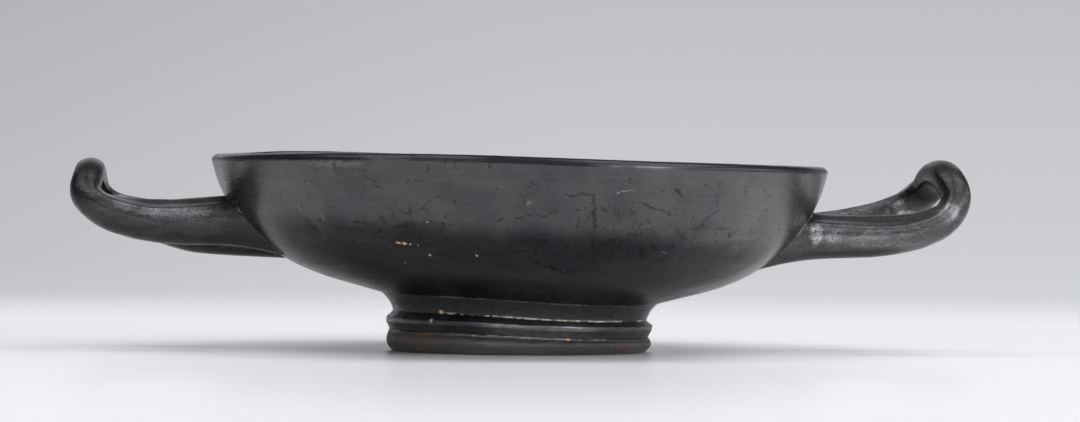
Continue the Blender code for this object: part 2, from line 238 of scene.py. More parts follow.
# How much lime lies in the foot's upper and lower cut lines: (degrees round from the front, amount)
LIME_UPPER = (
    (-180, 0.3), (-150, 0.6), (-120, 0.2), (-90, 0.15), (-43, 0.1), (-36, 0.75), (-32, 0.7), (-31, 0.1),
    (-30, 0.8), (-28, 0.15), (-24, 0.35), (-18, 0.5), (-10, 0.75), (-4, 1.0), (2, 1.0), (10, 0.75), (24, 1.0),
    (26, 0.35), (29, 0.9), (36, 1.0), (40, 0.75), (49, 1.0), (51, 0.15), (62, 0.1), (65, 0.9), (70, 0.7),
    (74, 0.1), (95, 0.5), (125, 0.65), (150, 0.1), (180, 0.3),
)
LIME_LOWER = (
    (-180, 0.5), (-140, 0.2), (-110, 0.6), (-90, 0.1), (-82, 0.1), (-79, 1.0), (-69, 1.0), (-66, 0.0), (-63, 0.0),
    (-61.4, 0.9), (-59.5, 0.0), (-50, 0.1), (-42, 0.5), (-36, 0.5), (-33, 0.85), (-26, 0.9), (-24.5, 0.4), (-19, 0.55),
    (-15, 0.8), (-5, 0.9), (8, 1.0), (19, 1.0), (22, 0.5), (30, 0.5), (32, 0.95), (37, 0.9), (39, 0.45), (47, 0.45),
    (52, 0.1), (75, 0.2), (90, 0.6), (180, 0.5),
)

# Places where the gloss on the foot has worn brown: (degrees from front, height, half width in degrees, half height)
WORN = (
    (-50.0, 2.6, 13.0, 2.2),
    (-56.0, 3.9, 8.0, 0.5),
    (30.0, 7.6, 3.6, 0.7),
    (50.0, 2.4, 9.0, 1.3),
    (118.0, 2.5, 10.0, 1.8),
    (161.0, 6.9, 9.0, 1.2),
    (-128.0, 1.2, 12.0, 1.5),
)

# and where the orange clay shows through, in the same form
BARE = (
    (-52.0, 0.95, 3.0, 0.42),
    (-46.5, 1.05, 1.6, 0.30),
    (-19.5, 0.55, 3.8, 0.26),
    (-49.0, 4.15, 7.0, 0.16),
    (-70.0, 0.6, 3.0, 0.30),
    (87.0, 0.7, 4.0, 0.35),
    (142.0, 0.8, 6.0, 0.40),
    (-160.0, 0.9, 5.0, 0.45),
)

# and in the line scored under the bowl
LIME_JOINT = (
    (-180, 0.4), (-120, 0.2), (-60, 0.2), (-42, 0.35), (-37, 0.9), (-30, 0.9), (-26, 0.5), (-8, 0.45), (-2, 0.5),
    (12, 0.7), (20, 0.7), (28, 0.35), (60, 0.3), (110, 0.5), (180, 0.4),
)

# Height under which the wall's gloss is duller, over 50: (degrees round from the front, height)
DULL_LINE = (
    (-180, 0.62), (-60, 0.69), (-44, 0.705), (-20, 0.675), (8, 0.675), (18, 0.69), (30, 0.66), (42, 0.645), (62, 0.61), (110, 0.60),
    (180, 0.62),
)

# Brighter and duller patches of the handles' gloss: (across, turned height, half width, half height, factor,
# 1 for the near side, 2 for the far side and the inside of the loop, 3 for both)
HANDLE_PATCHES = (
    (113.2, 40.0, 3.0, 2.3, 2.2, 3),
    (78.0, 33.9, 1.6, 3.1, 3.1, 3),
    (81.5, 33.3, 3.2, 2.4, 1.5, 1),
    (94.0, 31.9, 17.0, 2.1, 1.85, 1),
    (92.0, 27.3, 22.0, 2.2, 0.60, 1),
    (104.0, 40.8, 1.8, 2.0, 2.6, 2),
    (106.6, 38.3, 3.2, 1.5, 4.6, 2),
    (111.0, 44.2, 4.2, 3.2, 0.25, 2),
    (-88.0, 40.1, 13.0, 1.1, 2.4, 3),
    (-92.2, 36.0, 8.4, 2.5, 2.9, 3),
    (-105.6, 38.6, 3.2, 2.5, 2.6, 3),
    (-87.0, 38.0, 4.2, 0.9, 0.40, 3),
    (-79.0, 36.9, 0.8, 1.2, 0.45, 3),
    (-110.5, 43.0, 1.6, 4.5, 1.5, 3),
)

# How strongly the turn of the lip shines, over 2: (degrees round from the front, amount)
LIP_SHINE = (
    (-180, 0.2), (-33, 0.15), (-30, 0.5), (-24, 0.5), (-22, 0.2), (-11, 0.2), (-8, 0.10), (9, 0.12), (14, 0.55), (24, 0.55),
    (28, 0.3), (60, 0.2), (180, 0.2),
)

# Stains on the wall: (degrees, height, half length, half height, colour, amount)
STAINS = (
    (-36.5, 37.8, 2.6, 1.3, (0.006, 0.020, 0.024), 0.7),
    (-44.8, 34.8, 0.80, 0.80, (0.090, 0.052, 0.026), 0.65),
    (-47.5, 31.6, 1.3, 3.4, (0.026, 0.022, 0.015), 0.6),
    (-8.4, 44.4, 8.0, 1.5, (0.026, 0.023, 0.016), 0.5),
    (17.5, 36.1, 7.0, 3.0, (0.028, 0.022, 0.020), 0.5),
    (46.2, 37.2, 4.2, 2.6, (0.024, 0.024, 0.015), 0.6),
    (-38.0, 48.7, 8.5, 0.7, (0.100, 0.092, 0.080), 0.55),
    (-1.1, 39.9, 0.9, 0.8, (0.060, 0.060, 0.035), 0.7),
    (104.0, 40.0, 7.0, 2.5, (0.026, 0.022, 0.015), 0.6),
    (-140.0, 35.0, 5.0, 3.0, (0.008, 0.020, 0.022), 0.6),
)


# ================================================================ curves, as in the CAD source
def through(points, steps):
    pts = [tuple(map(float, p)) for p in points]
    first = tuple(2 * a - b for a, b in zip(pts[0], pts[1]))
    last = tuple(2 * a - b for a, b in zip(pts[-1], pts[-2]))
    ext = [first] + pts + [last]
    line = []
    for i in range(1, len(ext) - 2):
        p0, p1, p2, p3 = ext[i - 1:i + 3]
        t = [0.0]
        for a, b in ((p0, p1), (p1, p2), (p2, p3)):
            t.append(t[-1] + math.dist(a, b) ** 0.5)
        for k in range(steps):
            u = t[1] + (t[2] - t[1]) * k / steps

            def mix(a, b, ta, tb):
                w = (u - ta) / (tb - ta)
                return tuple(x + (y - x) * w for x, y in zip(a, b))

            a1, a2, a3 = mix(p0, p1, t[0], t[1]), mix(p1, p2, t[1], t[2]), mix(p2, p3, t[2], t[3])
            b1, b2 = mix(a1, a2, t[0], t[2]), mix(a2, a3, t[1], t[3])
            line.append(mix(b1, b2, t[1], t[2]))
    line.append(pts[-1])
    return line


def bow(p, q, bulge, steps):
    dx, dz = q[0] - p[0], q[1] - p[1]
    out = []
    for k in range(steps):
        w = k / steps
        lift = 4 * bulge * w * (1 - w) / math.hypot(dx, dz)
        out.append((p[0] + dx * w + dz * lift, p[1] + dz * w - dx * lift))
    return out


def lookup(table, x):
    if x <= table[0][0]:
        return table[0][1]
    for (a, va), (b, vb) in zip(table, table[1:]):
        if x <= b:
            return va + (vb - va) * (x - a) / (b - a)
    return table[-1][1]


def smooth(x):
    x = min(1.0, max(0.0, x))
    return x * x * (3 - 2 * x)


def rounded(table, x, width):
    return sum(lookup(table, x + width * k / 4) for k in (-2, -1, 0, 1, 2)) / 5


def ease(x):
    """smooth() on whole arrays."""
    x = np.clip(x, 0.0, 1.0)
    return x * x * (3 - 2 * x)


def wall_thickness(z):
    return lookup(((13.5, FLOOR_THICKNESS), (23.5, 4.0), (37.5, WALL_THICKNESS), (49.5, LIP_THICKNESS)), z)


def wall_radius(z, inset):
    table = [(p[1], p[0]) for p in OUTER_LINE]
    return lookup(table, z) - inset


OUTER_LINE = through(BOWL_STATIONS, 4)


def settle(points):
    """Turned coordinates to where the clay really lies, for an array of points."""
    x, y, z = points.T
    lean = np.interp(z, *zip(*LEAN)) * np.tanh(x / np.interp(z, *zip(*LEAN_REACH)))
    r = np.hypot(x, y)
    far = ease(r / 60.0)
    sag = RIM_SAG * ease((z - 19.5) / 30.0) * far
    turn = np.where(r > 1e-6, (x * x - y * y) / np.maximum(r * r, 1e-12), 0.0)
    off = (np.degrees(np.arctan2(y, x)) - RIM_HUMP_AT + 180) % 360 - 180
    hump = RIM_HUMP * ease((z - 29.5) / 20.0) * np.exp(-(off / RIM_HUMP_SPREAD) ** 2) * far
    hang = BELLY_SAG * ease((x - 42.0) / 12.0) * (1 - 0.6 * ease((x - 80.0) / 8.0)) * ease((42.0 - z) / 12.0)
    aside = NECK_OFFSET * ease((z - 5.0) / 4.0) * ease((32.0 - z) / 16.0)
    return np.stack([x + aside, y, z - lean - sag * turn + hump - hang], -1)


def unsettle(points):
    """The turned coordinates of settled points."""
    guess = points.copy()
    for _ in range(6):
        guess += points - settle(guess)
    return guess


# ================================================================ seeded unevenness
def lattice(seed, nu, nv):
    return np.random.default_rng(seed).uniform(-1.0, 1.0, (nu, nv))


def grain(table, u, v):
    """Smooth noise from -1 to 1: u goes once round the cup from 0 to 1, v runs from 0 to 1."""
    nu, nv = table.shape
    x, y = (u % 1.0) * nu, np.clip(v, 0.0, 1.0) * (nv - 1.001)
    i, j = np.floor(x).astype(int), np.floor(y).astype(int)
    fx, fy = ease(x - i), ease(y - j)
    a, b = i % nu, (i + 1) % nu
    low = table[a, j] * (1 - fx) + table[b, j] * fx
    high = table[a, j + 1] * (1 - fx) + table[b, j + 1] * fx
    return low * (1 - fy) + high * fy


# ================================================================ the turned body
def inner_wall(outer):
    inside = []
    for i, p in enumerate(outer):
        a, b = outer[max(i - 1, 0)], outer[min(i + 1, len(outer) - 1)]
        dr, dz = b[0] - a[0], b[1] - a[1]
        n = math.hypot(dr, dz)
        t = wall_thickness(p[1])
        inside.append((p[0] - t * dz / n, p[1] + t * dr / n))
    return inside


def even(line, step):
    """The same line with points about that far apart."""
    run = [0.0]
    for a, b in zip(line, line[1:]):
        run.append(run[-1] + math.dist(a, b))
    count = max(2, round(run[-1] / step))
    at = np.linspace(0, run[-1], count + 1)
    return list(zip(np.interp(at, run, [p[0] for p in line]), np.interp(at, run, [p[1] for p in line])))


def fine_profile():
    """(radius, height, zone) from the axis under the foot, round the outside, over the lip and in.
    Zones: 0 under the foot, 1 foot, 2 outer wall, 3 lip, 4 inside."""
    under = [(x, z) for x, z in through(FOOT_INNER, 6)][::-1]
    line = [(r, z, 0) for r, z in even(under, 2.0)]
    line += [(29.9, 0.0, 0), (31.0, 0.0, 0), (32.2, 0.0, 0), (33.2, 0.0, 1)]
    for (r, z, bulge, steps), q in zip(FOOT_FINE, FOOT_FINE[1:]):
        line += [(a, b, 1) for a, b in bow((r, z), q[:2], bulge, steps)]
    outer = even(through(BOWL_STATIONS, 8), 0.72)
    line += [(r, z, 2) for r, z in outer]
    inside = inner_wall(through(BOWL_STATIONS, 8))
    lip = ((RIM_RADIUS, 50.00), (RIM_RADIUS + 0.0, 50.10), (82.54, 50.28), (82.32, 50.62), (81.98, 51.02),
           (81.52, 51.36), (81.00, 51.55), (80.62, 51.55), (80.30, 51.30), (80.16, 50.90), inside[-1])
    line += [(r, z, 3) for r, z in through(lip, 2)[1:-1]]
    inward = list(reversed(inside))
    inward = [p for p in inward if p[0] > 38.0]
    inward = through(inward[::4] + [inward[-1]] + list(INNER_FLOOR), 6)
    line += [(r, z, 4) for r, z in even(inward, 2.5)]
    return np.array([p[:2] for p in line]), np.array([p[2] for p in line])


def make_body():
    """The turned body as an object, with its relief worked into the mesh."""
    line, zone = fine_profile()
    rows, columns = len(line), ROUND_STEPS
    t = np.arange(columns) / columns * 2 * math.pi
    round_from_front = t - FRONT_CLOSER * np.sin(t)
    tangent = np.gradient(line, axis=0)
    normal = np.stack([tangent[:, 1], -tangent[:, 0]], -1)
    normal /= np.maximum(np.linalg.norm(normal, axis=1, keepdims=True), 1e-9)

    az, r0 = np.meshgrid(round_from_front, line[:, 0])
    z0 = np.repeat(line[:, 1:2], columns, 1)
    zones = np.repeat(zone[:, None], columns, 1)
    u, v = az / (2 * math.pi), z0 / 54.0
    arc = np.cumsum(np.r_[0.0, np.hypot(*np.diff(line, axis=0).T)])
    s = np.repeat((arc / arc[-1])[:, None], columns, 1)

    # Wheel marks: fine rings that waver a little, and broad soft rises left by the thrower's fingers.
    rings = 0.011 * grain(lattice(11, 7, 260), u, s) + 0.014 * grain(lattice(12, 3, 90), u, s)
    swell = 0.05 * grain(lattice(13, 9, 24), u, s) + 0.03 * grain(lattice(14, 31, 40), u, s)
    pits = 0.010 * grain(lattice(15, 300, 200), u, s)
    body = np.isin(zones, (2, 4))
    lift = np.where(body, rings + swell + pits, 0.5 * rings + 0.4 * swell + 0.5 * pits)

    # The foot's edges waver and are nicked; crust fills its cut lines here and there.
    foot = (zones == 1)
    waver = 0.05 * grain(lattice(21, 60, 12), u, z0 / 15.0) + 0.035 * grain(lattice(22, 170, 30), u, z0 / 15.0)
    lift = np.where(foot, lift + waver, lift)
    crust = lime_amount(np.degrees(az), z0) * foot
    lift = lift + 0.13 * crust * (0.6 + 0.6 * grain(lattice(23, 420, 60), u, z0 / 15.0))

    # The lip isn't quite level and its edge is worn.
    edge = (zones == 3)
    lift = np.where(edge, 0.04 * grain(lattice(31, 36, 6), u, s * 4 % 1) + 0.02 * grain(lattice(32, 150, 6), u, s * 9 % 1)
                    - 0.02, lift)

    for at, high, long, tall, tilt in CHIPS:
        across = ((np.degrees(az) - at + 180) % 360 - 180) * math.pi / 180 * r0
        d = np.hypot(across / long, (z0 - high - tilt * across) / tall)
        lift = lift - 0.16 * ease(1.35 - d) * np.isin(zones, (1, 2))

    # Nothing may stand out of the solid's own box at the rim, or under the resting ring.
    fade = np.where(zones == 0, np.clip(z0 / 3.0, 0.0, 1.0), 1.0)
    lift = lift * fade * np.clip(r0 / 6.0, 0.0, 1.0)
    lift = np.where((z0 < 0.25) & (r0 > 29.0), 0.0, lift)

    r = r0 + normal[:, 0:1] * lift
    z = z0 + normal[:, 1:2] * lift
    r = np.minimum(r, RIM_RADIUS - 0.01)
    points = np.stack([r * np.sin(az), -r * np.cos(az), np.maximum(z, 0.0)], -1)

    inner = points[1:-1].reshape(-1, 3)
    count = len(inner)
    poles = np.array([[0.0, 0.0, line[0, 1]], [0.0, 0.0, line[-1, 1]]])
    verts = settle(np.concatenate([inner, poles])) * MM
    faces = []
    for i in range(rows - 3):
        a, b = i * columns, (i + 1) * columns
        for j in range(columns):
            k = (j + 1) % columns
            faces.append((a + j, a + k, b + k, b + j))
    last = (rows - 3) * columns
    for j in range(columns):
        k = (j + 1) % columns
        faces.append((count, k, j))
        faces.append((count + 1, last + j, last + k))
    mesh = bpy.data.meshes.new("kylix_fine")
    mesh.from_pydata(verts.tolist(), [], faces)
    mesh.update()
    zone_of = np.concatenate([zones[1:-1].reshape(-1), [0, 4]])
    slots = np.array([min(zone_of[v] for v in f) for f in faces])
    mesh.polygons.foreach_set("material_index", np.where(slots <= 1, 1, 0).astype(np.int32))
    obj = bpy.data.objects.new("kylix_fine", mesh)
    bpy.context.scene.collection.objects.link(obj)
    return obj


def lime_amount(degrees, z):
    """How much lime deposit lies at a place on the foot, from 0 to 1: along the cut lines, thick in some places."""
    u = degrees / 360.0
    front = (degrees + 180) % 360 - 180
    patchy = 0.8 + 0.5 * grain(lattice(41, 140, 4), u, z / 15.0) + 0.4 * grain(lattice(42, 380, 4), u, z / 15.0)
    upper = np.exp(-((z - 9.68 - 0.10 * grain(lattice(43, 90, 2), u, 0 * z)) / 0.30) ** 2)
    lower = np.exp(-((z - 4.58 - 0.12 * grain(lattice(44, 80, 2), u, 0 * z)) / 0.30) ** 2)
    return np.clip(patchy, 0.0, 1.3) * np.maximum(upper * np.interp(front, *zip(*LIME_UPPER)),
                                                 lower * np.interp(front, *zip(*LIME_LOWER)))


# ================================================================ the handles
def add(p, q, k=1.0):
    return tuple(a + k * b for a, b in zip(p, q))


def dot(p, q):
    return sum(a * b for a, b in zip(p, q))


def cross(p, q):
    return (p[1] * q[2] - p[2] * q[1], p[2] * q[0] - p[0] * q[2], p[0] * q[1] - p[1] * q[0])


def unit(p):
    n = math.sqrt(dot(p, p))
    return tuple(a / n for a in p)


def round_of(corners, steps):
    n = len(corners)
    return through([corners[(i - 1) % n] for i in range(n + 3)], steps)[steps:steps * (n + 1)]


def side_view(stations):
    line = through(stations, 10)[::-1]
    run = [0.0]
    for a, b in zip(line, line[1:]):
        run.append(run[-1] + math.dist(a, b))
    xs, zs = list(zip(run, (p[0] for p in line))), list(zip(run, (p[1] for p in line)))
    return lambda d: (lookup(xs, d), lookup(zs, d))


def centre_line(h, steps_leg, steps_end):
    near, far = side_view(h["near"]), side_view(h["far"])

    def place(d, v):
        w = min(1.0, max(0.0, (v / LOOP_APART + 1) / 2))
        return add(tuple((1 - w) * c for c in near(d)), far(d), w)

    def leg(view):
        d = LOOP_END
        while view(d)[0] > ROOT_FACE:
            d += 0.05
        return [d + (LOOP_END - d) * k / steps_leg for k in range(steps_leg)]

    def spread(d, root):
        return LOOP_APART + (LEG_APART - LOOP_APART) * (d - LOOP_END) / (root - LOOP_END)

    near_leg, far_leg = leg(near), leg(far)
    flat = [(d, -spread(d, near_leg[0])) for d in near_leg]
    for k in range(steps_end + 1):
        a = math.pi * (k / steps_end - 0.5)
        flat.append((LOOP_END * (1 - math.cos(a)), LOOP_APART * math.sin(a)))
    flat += [(d, spread(d, far_leg[0])) for d in reversed(far_leg)]

    line = []
    for d, v in flat:
        x, z = place(d, v)
        (xa, za), (xb, zb) = place(d + 0.6, v), place(max(d - 0.6, 0.0), v)
        along = (xb - xa, 0.0, zb - za)
        n, f = near(d), far(d)
        over = (h["follow"] * (f[0] - n[0]), 2 * LOOP_APART, h["follow"] * (f[1] - n[1]))
        line.append(((x, v, z), unit(cross(along, over)), d))
    return line


def root_rings(side, flare, ring, beyond, shape, steps):
    lines = []
    for (x0, y0, z0), (x1, y1, z1), (o, n) in zip(ring, beyond, shape):
        x0, x1 = side * x0, side * x1

        def place(x):
            t = min(1.0, max(ROOT_FACE - x, 0.0) / 21.0) ** 2
            k = (math.exp((x - x0) / 9.0) - 1) * 9.0 / (x1 - x0)
            return (x, y0 + (y1 - y0) * k + 0.6 * t * math.copysign(max(o, 0.0), y0),
                    z0 + (z1 - z0) * k - flare * t * max(-n, 0.0) ** 1.5 + 0.4 * t * max(n, 0.0))

        x = 72.0
        for _ in range(12):
            _, y, z = place(x)
            r = wall_radius(z, 2.0)
            x = math.sqrt(max(r * r - y * y, 1.0))
        lines.append([place(x + (x0 - x) * k / steps) for k in range(steps)])
    return [[(side * line[k][0], line[k][1], line[k][2]) for line in lines] for k in range(steps)]


def handle_rings(h, section_steps=6, steps_leg=30, steps_end=72, steps_root=14):
    leg_shape, tip_shape = round_of(LEG_SECTION, section_steps), round_of(TIP_SECTION, section_steps)
    line = centre_line(h, steps_leg, steps_end)
    rings = []
    for i, (p, up, d) in enumerate(line):
        along = unit(add(line[min(i + 1, len(line) - 1)][0], line[max(i - 1, 0)][0], -1.0))
        up = unit(add(up, along, -dot(up, along)))
        out = cross(along, up)
        w = smooth(d / TIP_BLEND)
        wide = TIP_WIDE + (ROLL_WIDE - TIP_WIDE) * w
        tall = rounded(h["tall"], d, 8.0) + h["fuller"] * smooth(p[1] / LOOP_APART) * smooth(2 - d / 20)
        ring = []
        for leg_at, tip_at in zip(leg_shape, tip_shape):
            o, n = add(tuple((1 - w) * c for c in tip_at), leg_at, w)
            q = add(add(p, out, o * wide / 2), up, n * tall / 2)
            ring.append((h["side"] * q[0], q[1], q[2]))
        rings.append(ring)
    first = root_rings(h["side"], h["flare"][0], rings[0], rings[1], leg_shape, steps_root)
    last = root_rings(h["side"], h["flare"][1], rings[-1], rings[-2], leg_shape, steps_root)
    return first + rings + last[::-1]


def make_handle(h, seed):
    rings = np.array(handle_rings(h))
    n, count = rings.shape[:2]
    # unevenness of the rolled clay: slow swellings along it, small dents across it
    centre = rings.mean(1, keepdims=True)
    outward = rings - centre
    length = np.linalg.norm(outward, axis=2, keepdims=True)
    outward /= length
    i, j = np.meshgrid(np.arange(n) / n, np.arange(count) / count, indexing="ij")
    lift = 0.10 * grain(lattice(seed, 5, 26), j, i) + 0.05 * grain(lattice(seed + 1, 11, 60), j, i)
    lift += 0.018 * grain(lattice(seed + 2, 40, 170), j, i)
    ends = np.minimum(i, 1 - i) * n
    lift = (lift - 0.07) * ease((ends - 10) / 14)
    rings = rings + outward * lift[..., None]
    hubs = []
    for ring in (rings[0], rings[-1]):
        y, z = ring[:, 1].mean(), ring[:, 2].mean()
        hubs.append((h["side"] * math.sqrt(wall_radius(z, 2.0) ** 2 - y * y), y, z))
    verts = settle(np.concatenate([rings.reshape(-1, 3), hubs])) * MM
    faces = []
    for a in range(n - 1):
        for b in range(count):
            c = (b + 1) % count
            faces.append((a * count + b, a * count + c, (a + 1) * count + c, (a + 1) * count + b))
    for b in range(count):
        c = (b + 1) % count
        faces.append((c, b, n * count))
        faces.append(((n - 1) * count + b, (n - 1) * count + c, n * count + 1))
    mesh = bpy.data.meshes.new("handle_roll")
    mesh.from_pydata(verts.tolist(), [], faces)
    mesh.polygons.foreach_set("material_index", np.full(len(faces), 2, np.int32))
    work = bmesh.new()
    work.from_mesh(mesh)
    bmesh.ops.recalc_face_normals(work, faces=work.faces)
    work.to_mesh(mesh)
    work.free()
    obj = bpy.data.objects.new("handle_roll", mesh)
    bpy.context.scene.collection.objects.link(obj)
    return obj


# ================================================================ joining them
def joined(body, rolls, materials):
    for obj in (body, *rolls):
        for material in materials:
            obj.data.materials.append(material)
    for k, roll in enumerate(rolls):
        union = body.modifiers.new(f"lute_{k}", "BOOLEAN")
        union.operation = "UNION"
        union.solver = "EXACT"
        union.object = roll
    graph = bpy.context.evaluated_depsgraph_get()
    mesh = bpy.data.meshes.new_from_object(body.evaluated_get(graph))
    body.modifiers.clear()
    for roll in rolls:
        bpy.data.objects.remove(roll)
    body.data = mesh
    return body


def write_attribute(mesh, name, kind, values):
    made = mesh.attributes.new(name, kind, "POINT")
    key = "vector" if kind == "FLOAT_VECTOR" else "value"
    made.data.foreach_set(key, np.asarray(values, np.float32).ravel())


def finish_mesh(obj):
    """Eases the seam where the handles are luted on and stores what the materials read."""
    mesh = obj.data
    work = bmesh.new()
    work.from_mesh(mesh)
    bmesh.ops.dissolve_degenerate(work, edges=work.edges, dist=2e-6)
    work.verts.ensure_lookup_table()
    seam = [v for v in work.verts if len({f.material_index == 2 for f in v.link_faces}) == 2]
    tree = KDTree(len(seam))
    for i, v in enumerate(seam):
        tree.insert(v.co, i)
    tree.balance()
    near = []
    for v in work.verts:
        d = tree.find(v.co)[2] / MM if 60 < math.hypot(v.co.x, v.co.y) / MM < 90 else 9.0
        near.append(min(d, 9.0))
    # clay smeared over the lower side of each join
    for _ in range(3):
        moved = {}
        for v, d in zip(work.verts, near):
            if d < 1.1 and v.co.z / MM < 36.0:
                others = [e.other_vert(v).co for e in v.link_edges]
                mean = sum(others, Vector()) / len(others)
                moved[v] = v.co.lerp(mean, 0.5 * smooth((36.0 - v.co.z / MM) / 5.0) * smooth(1.1 - d + 0.3))
        for v, co in moved.items():
            v.co = co
    # the handles' surface grain stays within the solid's own extent
    low, high = cad_box
    for v in work.verts:
        for i in range(3):
            v.co[i] = min(max(v.co[i], low[i] + (1e-5 if i < 2 else 0.0)), high[i] - 1e-5)
    work.to_mesh(mesh)
    work.free()
    co = np.empty(len(mesh.vertices) * 3, np.float32)
    mesh.vertices.foreach_get("co", co)
    co = co.reshape(-1, 3).astype(float) / MM
    turned = unsettle(co)
    write_attribute(mesh, "turned", "FLOAT_VECTOR", turned)
    write_attribute(mesh, "seam", "FLOAT", near)
    mesh.shade_smooth()
    mesh.set_sharp_from_angle(angle=math.radians(48))


# ================================================================ materials
class Graph:
    """Short names for shader nodes."""

    def __init__(self, name):
        self.material = bpy.data.materials.new(name)
        self.material.use_nodes = True
        self.tree = self.material.node_tree
        self.shader = self.tree.nodes["Principled BSDF"]

    def node(self, kind, **settings):
        made = self.tree.nodes.new(kind)
        for key, value in settings.items():
            setattr(made, key, value)
        return made

    def join(self, value, socket):
        if isinstance(value, bpy.types.NodeSocket):
            self.tree.links.new(value, socket)
        elif isinstance(value, (int, float)):
            socket.default_value = value
        else:
            socket.default_value = tuple(value) + ((1.0,) if len(value) == 3 and len(socket.default_value) == 4 else ())

    def math(self, op, a, b=None, c=None, clamp=False):
        made = self.node("ShaderNodeMath", operation=op, use_clamp=clamp)
        for value, socket in zip((a, b, c), made.inputs):
            if value is not None:
                self.join(value, socket)
        return made.outputs[0]

    def vector(self, op, a, b=None, scale=None):
        made = self.node("ShaderNodeVectorMath", operation=op)
        self.join(a, made.inputs[0])
        if b is not None:
            self.join(b, made.inputs[1])
        if scale is not None:
            self.join(scale, made.inputs["Scale"])
        return made.outputs["Value" if op in ("LENGTH", "DOT_PRODUCT", "DISTANCE") else "Vector"]

    def attribute(self, name, output):
        return self.node("ShaderNodeAttribute", attribute_name=name).outputs[output]

    def split(self, vector):
        return self.node_with("ShaderNodeSeparateXYZ", vector).outputs

    def node_with(self, kind, value, **settings):
        made = self.node(kind, **settings)
        self.join(value, made.inputs[0])
        return made

    def pack(self, x, y, z):
        made = self.node("ShaderNodeCombineXYZ")
        for value, socket in zip((x, y, z), made.inputs):
            self.join(value, socket)
        return made.outputs[0]

    def noise(self, vector, scale, detail=2.0, rough=0.5, distortion=0.0, color=False):
        made = self.node("ShaderNodeTexNoise")
        self.join(vector, made.inputs["Vector"])
        for key, value in (("Scale", scale), ("Detail", detail), ("Roughness", rough), ("Distortion", distortion)):
            made.inputs[key].default_value = value
        return made.outputs["Color" if color else "Fac"]

    def ramp(self, value, low, high, to_low=0.0, to_high=1.0, soft=True):
        made = self.node("ShaderNodeMapRange", interpolation_type="SMOOTHSTEP" if soft else "LINEAR", clamp=True)
        for key, v in zip(("Value", "From Min", "From Max", "To Min", "To Max"), (value, low, high, to_low, to_high)):
            self.join(v, made.inputs[key])
        return made.outputs[0]

    def mix(self, factor, a, b):
        made = self.node("ShaderNodeMix", data_type="RGBA", clamp_factor=True)
        factor_in = [s for s in made.inputs if s.name == "Factor" and s.type == "VALUE"][0]
        a_in = [s for s in made.inputs if s.name == "A" and s.type == "RGBA"][0]
        b_in = [s for s in made.inputs if s.name == "B" and s.type == "RGBA"][0]
        self.join(factor, factor_in)
        self.join(a, a_in)
        self.join(b, b_in)
        return [s for s in made.outputs if s.type == "RGBA"][0]

    def bump(self, height, strength, distance, normal=None):
        made = self.node("ShaderNodeBump")
        made.inputs["Strength"].default_value = strength
        made.inputs["Distance"].default_value = distance
        self.join(height, made.inputs["Height"])
        if normal is not None:
            self.join(normal, made.inputs["Normal"])
        return made.outputs[0]

    def table(self, value, low, high, pairs):
        """A value looked up in up to 32 pairs of a place and an amount."""
        made = self.node("ShaderNodeValToRGB")
        elements = made.color_ramp.elements
        spots = [((at - low) / (high - low), amount) for at, amount in pairs]
        elements[0].position, elements[1].position = spots[0][0], spots[-1][0]
        for at, _ in spots[1:-1]:
            elements.new(at)
        for element, (_, amount) in zip(sorted(elements, key=lambda e: e.position), spots):
            element.color = (amount, amount, amount, 1.0)
        self.join(self.ramp(value, low, high, soft=False), made.inputs["Fac"])
        return made.outputs["Color"]

    def voronoi(self, vector, feature="F1"):
        made = self.node("ShaderNodeTexVoronoi", voronoi_dimensions="2D", feature=feature)
        made.inputs["Scale"].default_value = 1.0
        self.join(vector, made.inputs["Vector"])
        return made.outputs["Distance"], made.outputs["Color"]

    def local(self, vector, center, angle, size):
        """The vector as seen from a place, turned by an angle and measured in the given sizes."""
        made = self.node("ShaderNodeMapping", vector_type="TEXTURE")
        made.inputs["Location"].default_value = (*center, 0.0)
        made.inputs["Rotation"].default_value = (0.0, 0.0, angle)
        made.inputs["Scale"].default_value = (*size, 1.0)
        self.join(vector, made.inputs["Vector"])
        return made.outputs[0]

    def finish(self, color, roughness, normal, gloss=None):
        self.join(color, self.shader.inputs["Base Color"])
        self.join(roughness, self.shader.inputs["Roughness"])
        if gloss is not None:
            self.join(gloss, self.shader.inputs["Specular IOR Level"])
        self.join(normal, self.shader.inputs["Normal"])
        return self.material


BLACK = (0.0055, 0.0055, 0.0086)
WARM = (0.0082, 0.0076, 0.0082)
COOL = (0.0052, 0.0068, 0.0082)
DEEP = (0.0035, 0.0035, 0.0037)
CHIP_EDGE = (0.30, 0.19, 0.12)
TAN = (0.44, 0.30, 0.20)
# pale of the chips' middles: partly pale clay, partly a painted highlight
PALE = (0.62, 0.55, 0.47)
BROWN = (0.050, 0.029, 0.020)
LIME = (0.66, 0.63, 0.57)
LIME_DULL = (0.30, 0.26, 0.20)
WALL_ARC = 80.0      # marks on the wall are placed on a cylinder of this radius
FOOT_ARC = 34.5      # and those on the foot on this one


def polar(g, x, y):
    """Distance from the axis, and the angle round it from the front, in radians."""
    radius = g.math("SQRT", g.math("ADD", g.math("MULTIPLY", x, x), g.math("MULTIPLY", y, y)))
    return radius, g.math("ARCTAN2", x, g.math("MULTIPLY", y, -1.0))


def spot(g, place, center, angle, size):
    """Square of the distance from one spot, 1 at its edge; place is (arc, height, 1)."""
    c, s = math.cos(angle), math.sin(angle)
    u = g.vector("DOT_PRODUCT", place, (c / size[0], s / size[0], -(center[0] * c + center[1] * s) / size[0]))
    v = g.vector("DOT_PRODUCT", place, (-s / size[1], c / size[1], (center[0] * s - center[1] * c) / size[1]))
    return g.math("MULTIPLY_ADD", u, u, g.math("MULTIPLY", v, v))


